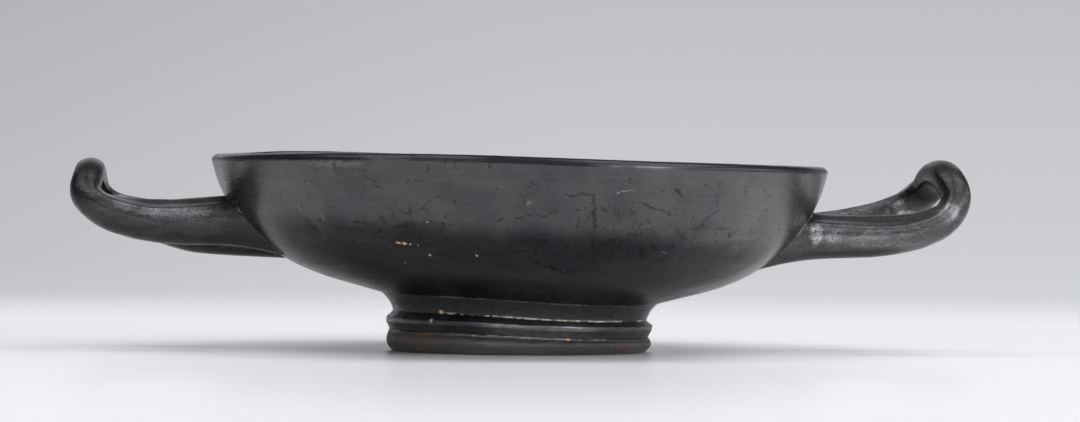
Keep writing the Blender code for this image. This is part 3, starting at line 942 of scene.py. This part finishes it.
def ellipses(g, place, spots, arc):
    """Distance from the nearest of some spots, 1 at their edge: (degrees round from the front, height, half
    length, half height, tilt); place holds the arc at the radius given as arc, the height, and 1."""
    nearest = None
    for at, high, long, tall, tilt in spots:
        d = spot(g, place, (math.radians(at) * arc, high), tilt, (long, tall))
        nearest = d if nearest is None else g.math("MINIMUM", nearest, d)
    return g.math("SQRT", nearest)


def strokes(g, place, table):
    """Distance from the nearest of some bent strokes, 1 at their edge; faint ones count as further away."""
    nearest = None
    for level in sorted({strength for _, strength, _ in table}):
        own = None
        for half, points in [(h, p) for h, strength, p in table if strength == level]:
            spots = [(math.radians(a) * WALL_ARC, z) for a, z in points]
            for p, q in zip(spots, spots[1:]):
                middle = ((p[0] + q[0]) / 2, (p[1] + q[1]) / 2)
                turn = math.atan2(q[1] - p[1], q[0] - p[0])
                d = spot(g, place, middle, turn, (math.dist(p, q) / 2 + half, half))
                own = d if own is None else g.math("MINIMUM", own, d)
        own = g.math("ADD", g.math("SQRT", own), (1.0 - level) * 0.9)
        nearest = own if nearest is None else g.math("MINIMUM", nearest, own)
    return nearest


def dashes(g, place, turn, long, wide, keep):
    """Short dashes scattered in one direction; keep is the share of them that is there."""
    distance, chance = g.voronoi(g.local(place, (7.0 * turn, 3.0), turn, (long, wide)))
    return g.math("MULTIPLY", g.ramp(distance, 0.30, 0.08), g.math("LESS_THAN", g.split(chance)[0], keep))


def wheel_coordinates(g, turned, x, y, z, along, up):
    """Coordinates stretched round the axis, so that noise on them reads as marks of the wheel."""
    radius = g.math("SQRT", g.math("ADD", g.math("MULTIPLY", x, x), g.math("MULTIPLY", y, y)))
    around = g.vector("SCALE", g.vector("NORMALIZE", g.pack(x, y, 0.0)), scale=along)
    xs = g.split(around)
    slope = g.math("ADD", g.math("MULTIPLY", z, up), g.math("MULTIPLY", radius, up * 0.6))
    return g.pack(xs[0], xs[1], slope)


def around_half(g, value, amount):
    """A noise as a rise and fall of the given amount about nought."""
    return g.math("MULTIPLY", g.math("SUBTRACT", value, 0.5), amount)


def chip_colour(g, distance, fine):
    """Orange-brown at a chip's edge; in its middle tan clay patched with a pale colour that is partly pale clay and
    partly a painted highlight.
    """
    core = g.ramp(g.math("ADD", distance, around_half(g, fine, 0.6)), 0.72, 0.42)
    return g.mix(core, CHIP_EDGE, g.mix(g.ramp(fine, 0.40, 0.60), TAN, PALE))


def gloss_wall():
    g = Graph("black_gloss_wall")
    turned = g.attribute("turned", "Vector")
    x, y, z = g.split(turned)
    seam = g.attribute("seam", "Fac")
    radius, around = polar(g, x, y)

    fine = g.noise(turned, 2.2, 3.0, 0.6)
    grit = g.noise(turned, 1.0, 3.0, 0.65)
    mid = g.noise(turned, 0.33, 3.0, 0.6)
    cloud = g.noise(g.vector("ADD", turned, (31.0, 7.0, 19.0)), 0.075, 4.0, 0.6)
    patches = g.noise(turned, 0.045, 3.0, 0.55)
    streaks = g.noise(wheel_coordinates(g, turned, x, y, z, 9.0, 3.2), 1.0, 3.0, 0.62)
    rings = g.noise(wheel_coordinates(g, turned, x, y, z, 2.5, 1.1), 1.0, 2.0, 0.5)

    # dark strokes, dashes and rubs
    place = g.pack(g.math("MULTIPLY", around, WALL_ARC), z, 1.0)
    shake = g.vector("SUBTRACT", g.noise(turned, 0.85, 2.0, 0.6, color=True), (0.5, 0.5, 0.5))
    drawn = g.vector("ADD", place, g.vector("MULTIPLY", shake, (2.0, 2.0, 0.0)))
    crowd = g.ramp(g.math("ADD", strokes(g, place, BUSY), around_half(g, mid, 1.6)), 1.25, 0.25)
    line = g.math("ADD", strokes(g, drawn, STROKES), g.math("ADD", around_half(g, fine, 1.7), around_half(g, mid, 1.6)))
    marks = g.ramp(line, 1.70, 0.30)
    keep = g.math("ADD", g.math("MULTIPLY", crowd, 0.42), g.ramp(cloud, 0.42, 0.62, 0.012, 0.065))
    loud = g.ramp(g.noise(turned, 0.6, 2.0, 0.6), 0.35, 0.65, 0.15, 0.95)
    for turn, long, wide in ((0.15, 5.0, 1.25), (1.15, 4.2, 1.20), (-0.55, 6.5, 1.15), (2.30, 3.2, 0.95), (0.9, 1.6, 1.3)):
        marks = g.math("MAXIMUM", marks, g.math("MULTIPLY", dashes(g, drawn, turn, long, wide, keep), loud))
    rubs = g.math("MULTIPLY", crowd, g.ramp(g.noise(drawn, 0.42, 4.0, 0.7), 0.50, 0.66, 0.0, 0.5))
    marks = g.math("MAXIMUM", marks, rubs)

    # thin pale scratches: some placed, the rest mostly level
    scratch = g.noise(g.pack(g.math("MULTIPLY", x, 0.10), g.math("MULTIPLY", y, 0.10), g.math("MULTIPLY", z, 1.6)), 1.0, 2.0, 0.5, 0.6)
    scratch = g.ramp(g.math("ABSOLUTE", g.math("SUBTRACT", scratch, 0.5)), 0.004, 0.001)
    scratch = g.math("MULTIPLY", scratch, g.ramp(g.noise(g.vector("ADD", turned, (9.0, 9.0, 9.0)), 0.12, 1.0, 0.5), 0.60, 0.70, 0.0, 0.35))
    pale = g.math("ADD", strokes(g, drawn, PALE_STROKES), around_half(g, fine, 2.2))
    scratch = g.math("MAXIMUM", scratch, g.ramp(pale, 1.3, 0.5))

    specks = g.ramp(g.noise(g.vector("ADD", turned, (50.0, 0.0, 0.0)), 1.3, 1.0, 0.5), 0.77, 0.80)
    chip = g.math("ADD", ellipses(g, place, [c for c in CHIPS if c[1] > 15.0], WALL_ARC), around_half(g, fine, 1.5))
    chips = g.ramp(chip, 1.05, 0.80)
    dirt = g.ramp(g.math("ADD", seam, around_half(g, fine, 1.0)), 0.34, 0.10)
    dirt = g.math("MULTIPLY", dirt, g.ramp(mid, 0.38, 0.50))
    pale_dirt = g.math("MULTIPLY", dirt, g.ramp(g.noise(turned, 0.55, 2.0, 0.6), 0.46, 0.60))
    pale_dirt = g.math("MULTIPLY", pale_dirt, g.ramp(z, 31.0, 34.0, 0.15, 1.0))

    color = g.mix(g.ramp(cloud, 0.40, 0.62), BLACK, WARM)
    color = g.mix(g.ramp(patches, 0.54, 0.72), color, COOL)
    for at, high, long, tall, stain, amount in STAINS:
        d = g.math("ADD", ellipses(g, drawn, ((at, high, long, tall, 0.0),), WALL_ARC), around_half(g, mid, 2.2))
        color = g.mix(g.ramp(d, 1.5, 0.2, 0.0, amount), color, stain)
    color = g.mix(g.math("MULTIPLY", marks, 0.7), color, DEEP)
    color = g.mix(g.math("MULTIPLY", scratch, 0.75), color, (0.27, 0.27, 0.28))
    color = g.mix(g.math("MULTIPLY", specks, 0.5), color, (0.16, 0.13, 0.10))
    color = g.mix(dirt, color, (0.030, 0.022, 0.014))
    color = g.mix(pale_dirt, color, (0.34, 0.28, 0.20))
    color = g.mix(chips, color, chip_colour(g, chip, fine))

    rough = g.math("ADD", g.ramp(patches, 0.35, 0.68, 0.24, 0.32), around_half(g, streaks, 0.12))
    rough = g.math("ADD", rough, g.math("MULTIPLY", marks, 0.18))
    rough = g.math("MAXIMUM", rough, g.math("MULTIPLY", g.math("MAXIMUM", chips, dirt), 0.8))

    # how strongly the gloss reflects: cloudy and streaked, dull in the marks
    gloss = g.math("ADD", g.ramp(cloud, 0.32, 0.68, 0.43, 0.57), around_half(g, streaks, 0.26))
    gloss = g.math("ADD", gloss, g.math("ADD", around_half(g, grit, 0.12), around_half(g, rings, 0.08)))
    gloss = g.math("MULTIPLY", gloss, g.ramp(marks, 0.0, 1.0, 1.0, 0.40, soft=False))
    # and duller below a line that runs a little lower on the right
    degrees = g.math("MULTIPLY", around, 180.0 / math.pi)
    under = g.math("SUBTRACT", z, g.math("MULTIPLY", g.table(degrees, -180.0, 180.0, DULL_LINE), 50.0))
    under = g.math("ADD", under, around_half(g, cloud, 3.0))
    dull = g.math("MINIMUM", g.ramp(under, 2.2, -4.2), g.ramp(under, -20.0, -8.0, 0.95, 1.0))
    gloss = g.math("MULTIPLY", gloss, g.ramp(dull, 0.0, 1.0, 1.0, 0.27, soft=False))
    gloss = g.math("MULTIPLY", gloss, g.ramp(under, -9.0, -4.5, 0.78, 1.0))
    gloss = g.math("MULTIPLY", gloss, g.math("SUBTRACT", 1.0, g.math("MULTIPLY", crowd, 0.22)))
    right = g.math("MULTIPLY", g.ramp(degrees, 18.0, 42.0), g.ramp(degrees, 150.0, 110.0))
    right = g.math("MULTIPLY", right, g.math("SUBTRACT", 1.0, dull))
    left = g.math("MULTIPLY", g.ramp(degrees, -30.0, -44.0), g.ramp(degrees, -150.0, -110.0))
    left = g.math("MULTIPLY", left, g.ramp(under, -4.0, -9.0))
    gloss = g.math("MULTIPLY", gloss, g.math("ADD", 1.0, g.math("MULTIPLY", right, 0.28)))
    gloss = g.math("MULTIPLY", gloss, g.math("SUBTRACT", 1.0, g.math("MULTIPLY", left, 0.55)))
    # the lip's face is duller too, and its lower edge shines here and there
    outside = g.math("GREATER_THAN", radius, 80.9)
    edge = g.math("MULTIPLY", outside, g.ramp(z, 49.45, 49.75))
    shine = g.math("MULTIPLY", g.table(degrees, -180.0, 180.0, LIP_SHINE), 2.0)
    shine = g.math("MINIMUM", shine, g.ramp(g.math("ADD", z, around_half(g, fine, 0.3)), 50.15, 50.45, 2.0, 0.30))
    gloss = g.math("MULTIPLY", gloss, g.math("ADD", 1.0, g.math("MULTIPLY", edge, g.math("SUBTRACT", shine, 1.0))))

    height = g.math("ADD", g.math("MULTIPLY", streaks, 0.7), g.math("MULTIPLY", rings, 0.8))
    height = g.math("ADD", height, g.math("MULTIPLY", fine, 0.28))
    height = g.math("SUBTRACT", height, g.math("MULTIPLY", chips, 2.0))
    normal = g.bump(height, 1.0, 0.00003)
    g.shader.inputs["IOR"].default_value = 1.70
    return g.finish(color, rough, normal, gloss)


def gloss_foot():
    g = Graph("black_gloss_foot")
    turned = g.attribute("turned", "Vector")
    x, y, z = g.split(turned)
    radius, around = polar(g, x, y)
    degrees = g.math("MULTIPLY", around, 180.0 / math.pi)
    place = g.pack(g.math("MULTIPLY", around, FOOT_ARC), z, 1.0)
    fine = g.noise(turned, 2.6, 3.0, 0.65)
    mid = g.noise(turned, 0.42, 3.0, 0.6)
    patches = g.noise(turned, 0.07, 3.0, 0.55)
    streaks = g.noise(wheel_coordinates(g, turned, x, y, z, 7.0, 4.0), 1.0, 3.0, 0.6)

    # lime along the cut lines; the lines' height wavers a little
    waver = around_half(g, g.noise(turned, 0.22, 2.0, 0.6), 0.40)
    crisp = around_half(g, fine, 2.6)
    bits = around_half(g, g.noise(g.vector("ADD", turned, (5.0, 80.0, 1.0)), 0.85, 3.0, 0.7), 3.3)

    def line_at(height, half, amount, fullness):
        off = g.math("ABSOLUTE", g.math("ADD", g.math("SUBTRACT", z, height), waver))
        thick = g.math("MULTIPLY", g.math("ADD", g.math("MULTIPLY", amount, 0.75), 0.25), half)
        there = g.ramp(g.math("ADD", g.math("DIVIDE", off, thick), crisp), 1.35, 0.50)
        return g.math("MULTIPLY", there, g.ramp(g.math("ADD", amount, bits), 0.30, 0.95, 0.0, fullness))

    upper = g.table(degrees, -180.0, 180.0, LIME_UPPER)
    lower = g.table(degrees, -180.0, 180.0, LIME_LOWER)
    up_line = line_at(9.64, 0.22, upper, 0.90)
    low_line = line_at(4.62, 0.17, lower, 0.50)
    joint = g.table(degrees, -180.0, 180.0, LIME_JOINT)
    joint_line = line_at(14.0, 0.13, joint, 0.35)
    lime = g.math("MAXIMUM", up_line, g.math("MAXIMUM", low_line, joint_line))

    def spots(table, ragged):
        arcs = [(at, high, math.radians(half) * FOOT_ARC, tall, 0.0) for at, high, half, tall in table]
        d = g.math("ADD", ellipses(g, place, arcs, FOOT_ARC), around_half(g, mid, ragged))
        return g.ramp(g.math("ADD", d, around_half(g, fine, ragged * 0.6)), 1.15, 0.50)

    worn = spots(WORN, 2.4)
    bare_clay = spots(BARE, 2.6)
    chip = g.math("ADD", ellipses(g, place, [c for c in CHIPS if c[1] < 15.0], FOOT_ARC), around_half(g, fine, 1.3))
    chips = g.ramp(chip, 1.05, 0.80)

    # underneath: bare clay on the resting ring, a gloss-coated hollow with thin places
    ring = g.math("MULTIPLY", g.ramp(z, 0.28, 0.10), g.ramp(radius, 28.6, 29.3))
    ring = g.math("MULTIPLY", ring, g.ramp(radius, 33.4, 33.0))
    ring = g.math("MULTIPLY", ring, g.ramp(g.math("ADD", mid, g.math("MULTIPLY", fine, 0.4)), 0.50, 0.66))
    below = g.math("MULTIPLY", g.ramp(radius, 29.0, 28.2), g.ramp(g.math("ADD", patches, g.math("MULTIPLY", mid, 0.6)), 0.84, 1.04))

    color = g.mix(g.ramp(patches, 0.42, 0.62), BLACK, WARM)
    color = g.mix(g.math("MULTIPLY", g.ramp(streaks, 0.48, 0.75), 0.4), color, (0.0170, 0.0165, 0.0160))
    # painted reflected light: from the fillet down, and most of all on the torus's lower half, the foot is lifted to a
    # lighter grey that stands in for the bright floor it reflects
    color = g.mix(g.ramp(z, 8.3, 7.5, 0.0, 0.45), color, (0.0190, 0.0165, 0.0150))
    color = g.mix(g.ramp(z, 4.7, 4.0, 0.0, 0.75), color, (0.0190, 0.0160, 0.0160))
    color = g.mix(g.ramp(g.math("ADD", z, around_half(g, mid, 0.8)), 3.0, 1.3, 0.0, 0.80), color, (0.0530, 0.0500, 0.0495))
    color = g.mix(g.math("MULTIPLY", worn, 0.85), color, g.mix(g.ramp(mid, 0.40, 0.60), (0.098, 0.052, 0.038), (0.046, 0.036, 0.031)))
    color = g.mix(g.math("MULTIPLY", bare_clay, 0.65), color, (0.150, 0.070, 0.036))
    color = g.mix(g.math("MULTIPLY", below, 0.6), color, (0.13, 0.065, 0.038))
    color = g.mix(ring, color, (0.36, 0.19, 0.10))
    color = g.mix(lime, color, g.mix(g.ramp(g.noise(turned, 0.8, 2.0, 0.6), 0.36, 0.56), LIME_DULL, LIME))
    color = g.mix(chips, color, chip_colour(g, chip, fine))

    rough = g.math("ADD", g.ramp(patches, 0.35, 0.68, 0.24, 0.34), around_half(g, streaks, 0.18))
    bare = g.math("MAXIMUM", g.math("MAXIMUM", lime, chips), g.math("MAXIMUM", ring, g.math("MULTIPLY", worn, 0.62)))
    rough = g.math("ADD", rough, g.ramp(z, 5.2, 3.6, 0.0, 0.20))
    rough = g.math("MAXIMUM", rough, g.math("MULTIPLY", g.math("MAXIMUM", bare, bare_clay), 0.85))
    gloss = g.math("ADD", g.ramp(mid, 0.30, 0.70, 0.44, 0.60), around_half(g, streaks, 0.26))
    gloss = g.math("MULTIPLY", gloss, g.ramp(z, 4.7, 4.2, 1.0, 1.15))
    front = g.math("MULTIPLY", g.ramp(degrees, -26.0, -8.0), g.ramp(degrees, 36.0, 16.0))
    front = g.math("MULTIPLY", front, g.math("MULTIPLY", g.ramp(z, 9.6, 9.0), g.ramp(z, 4.3, 5.0)))
    gloss = g.math("MULTIPLY", gloss, g.math("ADD", 1.0, g.math("MULTIPLY", front, 0.75)))
    # rubbed duller: the torus right of the front, and the fillet left of it
    torus = g.math("MULTIPLY", g.ramp(degrees, 4.0, 18.0), g.ramp(degrees, 60.0, 46.0))
    torus = g.math("MULTIPLY", torus, g.ramp(z, 4.9, 4.3))
    fillet = g.math("MULTIPLY", g.ramp(degrees, -12.0, -22.0), g.ramp(degrees, -44.0, -34.0))
    fillet = g.math("MULTIPLY", fillet, g.math("MULTIPLY", g.ramp(z, 4.8, 5.2), g.ramp(z, 9.6, 9.0)))
    gloss = g.math("MULTIPLY", gloss, g.math("SUBTRACT", 1.0, g.math("MULTIPLY", g.math("MAXIMUM", torus, fillet), 0.45)))
    height = g.math("ADD", g.math("MULTIPLY", streaks, 0.7), g.math("MULTIPLY", fine, 0.5))
    height = g.math("ADD", height, g.math("MULTIPLY", mid, 0.8))
    height = g.math("ADD", height, g.math("MULTIPLY", lime, 2.0))
    height = g.math("SUBTRACT", height, g.math("MULTIPLY", chips, 2.5))
    normal = g.bump(height, 1.0, 0.00004)
    g.shader.inputs["IOR"].default_value = 1.68
    return g.finish(color, rough, normal, gloss)


def gloss_handle():
    g = Graph("black_gloss_handle")
    turned = g.attribute("turned", "Vector")
    x, y, z = g.split(turned)
    seam = g.attribute("seam", "Fac")
    fine = g.noise(turned, 2.6, 2.0, 0.6)
    peel = g.noise(turned, 1.25, 2.0, 0.55)
    mid = g.noise(turned, 0.30, 3.0, 0.6)
    patches = g.noise(turned, 0.10, 3.0, 0.55)
    smears = g.noise(g.pack(g.math("MULTIPLY", x, 0.10), g.math("MULTIPLY", y, 0.22), g.math("MULTIPLY", z, 0.30)), 1.0, 3.0, 0.55)
    pits = g.ramp(g.noise(g.vector("ADD", turned, (8.0, 3.0, 2.0)), 0.9, 2.0, 0.6), 0.68, 0.76)
    dirt = g.ramp(g.math("ADD", seam, around_half(g, fine, 1.0)), 0.34, 0.10)
    dirt = g.math("MULTIPLY", dirt, g.ramp(mid, 0.38, 0.50))
    pale_dirt = g.math("MULTIPLY", dirt, g.ramp(g.noise(turned, 0.55, 2.0, 0.6), 0.46, 0.60))
    pale_dirt = g.math("MULTIPLY", pale_dirt, g.ramp(z, 31.0, 34.0, 0.15, 1.0))
    brown = g.math("MULTIPLY", g.ramp(mid, 0.64, 0.72), g.ramp(patches, 0.48, 0.58))

    color = g.mix(g.ramp(patches, 0.40, 0.62), (0.0056, 0.0057, 0.0068), (0.0082, 0.0078, 0.0070))
    color = g.mix(g.math("MULTIPLY", pits, 0.6), color, DEEP)
    color = g.mix(g.math("MULTIPLY", brown, 0.6), color, (0.080, 0.052, 0.032))
    color = g.mix(dirt, color, (0.030, 0.022, 0.014))
    color = g.mix(pale_dirt, color, (0.34, 0.28, 0.20))
    rough = g.math("ADD", g.ramp(smears, 0.38, 0.62, 0.25, 0.33), around_half(g, fine, 0.10))
    rough = g.math("MAXIMUM", rough, g.math("MULTIPLY", g.math("MAXIMUM", brown, dirt), 0.75))
    gloss = g.math("ADD", g.ramp(smears, 0.38, 0.60, 0.54, 0.36), around_half(g, peel, 0.26))
    gloss = g.math("MULTIPLY", gloss, g.ramp(pits, 0.0, 1.0, 1.0, 0.4))
    gloss = g.math("MULTIPLY", gloss, g.ramp(x, -60.0, 60.0, 0.62, 1.10))
    gloss = g.math("MULTIPLY", gloss, g.ramp(g.math("ADD", z, around_half(g, mid, 3.0)), 41.5, 45.0, 1.0, 0.50))
    place = g.pack(x, z, 1.0)
    ragged = around_half(g, g.noise(turned, 0.60, 3.0, 0.7), 0.8)
    grit = g.ramp(g.noise(g.vector("ADD", turned, (3.0, 60.0, 4.0)), 2.4, 2.0, 0.6), 0.35, 0.65, 0.45, 1.55)
    far = g.ramp(y, -5.0, -2.0)
    sides = {1: g.math("SUBTRACT", 1.0, far), 2: far}
    for across, high, wide, tall, factor, side in HANDLE_PATCHES:
        d = g.math("SQRT", spot(g, place, (across, high), 0.0, (wide, tall)))
        patch = g.ramp(g.math("ADD", d, ragged), 1.35, 0.45)
        if side in sides:
            patch = g.math("MULTIPLY", patch, sides[side])
        if factor > 1.0:
            patch = g.math("MULTIPLY", patch, grit)
        gloss = g.math("MULTIPLY", gloss, g.math("ADD", 1.0, g.math("MULTIPLY", patch, factor - 1.0)))
    height = g.math("ADD", g.math("MULTIPLY", peel, 1.8), g.math("MULTIPLY", fine, 0.8))
    height = g.math("ADD", height, g.math("MULTIPLY", mid, 0.6))
    height = g.math("SUBTRACT", height, g.math("MULTIPLY", pits, 0.8))
    normal = g.bump(height, 1.0, 0.00007)
    g.shader.inputs["IOR"].default_value = 1.70
    return g.finish(color, rough, normal, gloss)


# ================================================================ stage
def make_floor():
    """A pale floor that fades out into the surroundings far from the cup."""
    work = bmesh.new()
    bmesh.ops.create_circle(work, cap_ends=True, radius=1.3, segments=96)
    mesh = bpy.data.meshes.new("floor")
    work.to_mesh(mesh)
    work.free()
    floor = bpy.data.objects.new("floor", mesh)
    bpy.context.scene.collection.objects.link(floor)
    floor.location = (0.0, -0.5, -0.0001)
    g = Graph("pale_floor")
    place = g.node("ShaderNodeTexCoord").outputs["Object"]
    distance = g.vector("LENGTH", place)
    g.shader.inputs["Base Color"].default_value = (0.910, 0.908, 0.888, 1.0)
    g.shader.inputs["Roughness"].default_value = 0.28
    g.shader.inputs["Specular IOR Level"].default_value = 0.4
    g.join(g.ramp(distance, 0.76, 1.17, 1.0, 0.0), g.shader.inputs["Alpha"])
    mesh.materials.append(g.material)
    return floor


def make_world():
    """Soft studio surroundings: a pale backdrop all round near eye level, a dark ceiling."""
    world = bpy.data.worlds.new("studio")
    bpy.context.scene.world = world
    world.use_nodes = True
    tree = world.node_tree
    nodes, links = tree.nodes, tree.links
    background = nodes["Background"]
    coordinate = nodes.new("ShaderNodeTexCoord")
    parts = nodes.new("ShaderNodeSeparateXYZ")
    links.new(coordinate.outputs["Generated"], parts.inputs[0])
    ramp = nodes.new("ShaderNodeValToRGB")
    mapped = nodes.new("ShaderNodeMapRange")
    mapped.clamp = True
    for key, value in (("From Min", -0.2), ("From Max", 0.8), ("To Min", 0.0), ("To Max", 1.0)):
        mapped.inputs[key].default_value = value
    links.new(parts.outputs["Z"], mapped.inputs["Value"])
    links.new(mapped.outputs[0], ramp.inputs["Fac"])
    stops = ((0.0, 0.74), (0.172, 0.68), (0.180, 0.63), (0.20, 0.590), (0.228, 0.53), (0.30, 0.40), (0.45, 0.16), (0.6, 0.05), (1.0, 0.03))
    ramp.color_ramp.elements[0].position, ramp.color_ramp.elements[1].position = stops[0][0], stops[-1][0]
    elements = [ramp.color_ramp.elements[0]] + [ramp.color_ramp.elements.new(p) for p, _ in stops[1:-1]] + [ramp.color_ramp.elements[-1]]
    for (p, v), e in zip(stops, sorted(ramp.color_ramp.elements, key=lambda e: e.position)):
        e.color = (v * 0.985, v, v * 1.035, 1.0)
    links.new(ramp.outputs["Color"], background.inputs["Color"])
    # the backdrop is a little darker on the left
    across = nodes.new("ShaderNodeMapRange")
    across.interpolation_type = "SMOOTHSTEP"
    for key, value in (("From Min", -0.10), ("From Max", 0.08), ("To Min", 0.82), ("To Max", 1.0)):
        across.inputs[key].default_value = value
    links.new(parts.outputs["X"], across.inputs["Value"])
    links.new(across.outputs[0], background.inputs["Strength"])


def make_light(name, azimuth, elevation, distance, size, power, color=(0.982, 0.978, 1.045)):
    light = bpy.data.lights.new(name, "AREA")
    light.shape = "RECTANGLE"
    light.size, light.size_y = size
    light.energy = power
    light.color = color
    obj = bpy.data.objects.new(name, light)
    a, e = math.radians(azimuth), math.radians(elevation)
    at = Vector((math.sin(a) * math.cos(e), -math.cos(a) * math.cos(e), math.sin(e))) * distance
    obj.location = at
    obj.rotation_euler = (Vector((0, 0, 0.02)) - at).to_track_quat("-Z", "Y").to_euler()
    obj.visible_camera = False
    bpy.context.scene.collection.objects.link(obj)
    return obj


def make_camera():
    """Almost level with the rim, 1.5 m away, a little to the left, and tipped by less than half a degree."""
    distance, high, turn, roll = 1.5, 0.0527, math.radians(-3.0), math.radians(0.45)
    pixels, width, axis_at = 5589.0, 1080.0, 519.6
    place = Vector((distance * math.sin(turn), -distance * math.cos(turn), high))
    level = Vector((math.cos(turn), math.sin(turn), 0.0))
    aim = level * ((width / 2 - axis_at) / pixels * distance) + Vector((0.0, 0.0, 0.0375))
    ahead = (aim - place).normalized()
    right = ahead.cross(Vector((0.0, 0.0, 1.0))).normalized()
    up = right.cross(ahead)
    right, up = right * math.cos(roll) + up * math.sin(roll), up * math.cos(roll) - right * math.sin(roll)
    data = bpy.data.cameras.new("camera")
    data.sensor_fit = "HORIZONTAL"
    data.sensor_width = 36.0
    data.lens = 36.0 * pixels / width
    data.clip_start, data.clip_end = 0.05, 100.0
    camera = bpy.data.objects.new("camera", data)
    bpy.context.scene.collection.objects.link(camera)
    axes = Matrix((right, up, -ahead)).transposed().to_4x4()
    camera.matrix_world = Matrix.Translation(place) @ axes
    bpy.context.scene.camera = camera


# ================================================================ the scene
scene = bpy.context.scene
scene.view_settings.view_transform = "Standard"
scene.view_settings.look = "None"

materials = [gloss_wall(), gloss_foot(), gloss_handle()]
kylix = joined(make_body(), [make_handle(h, 50 + 10 * k) for k, h in enumerate(HANDLES)], materials)
finish_mesh(kylix)
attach(kylix, "root")
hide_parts("kylix_cup")
print("fine mesh:", len(kylix.data.vertices), "vertices,", sum(len(p.vertices) - 2 for p in kylix.data.polygons), "triangles")

make_floor()
make_world()
make_light("left_high", -90.0, 66.0, 4.0, (2.6, 2.6), 60.6)
make_light("right_high", 90.0, 66.0, 4.0, (2.6, 2.6), 72.0)
make_light("front_high", 5.0, 42.0, 4.0, (3.2, 0.9), 42.3)
make_light("front_top", 0.0, 66.0, 4.0, (2.6, 2.6), 8.6)
make_light("right_middle", 45.0, 36.0, 4.0, (2.4, 2.4), 9.6)
make_light("strip_front", 0.0, 6.1, 4.0, (4.6, 0.85), 28.0)
make_light("front_left", -35.0, 14.0, 4.0, (1.2, 1.2), 11.3)
make_light("softbox_left", -62.0, 14.0, 4.0, (2.0, 2.0), 6.7)
make_light("softbox_right", 50.0, 14.0, 4.0, (2.0, 2.0), 53.0)
make_light("side_right", 95.0, 26.0, 4.0, (3.0, 1.6), 34.4)
make_light("back_low", 180.0, 22.0, 4.0, (3.0, 1.6), 11.7)
make_light("back_high", 180.0, 45.0, 4.0, (2.4, 2.4), 2.9)
make_camera()
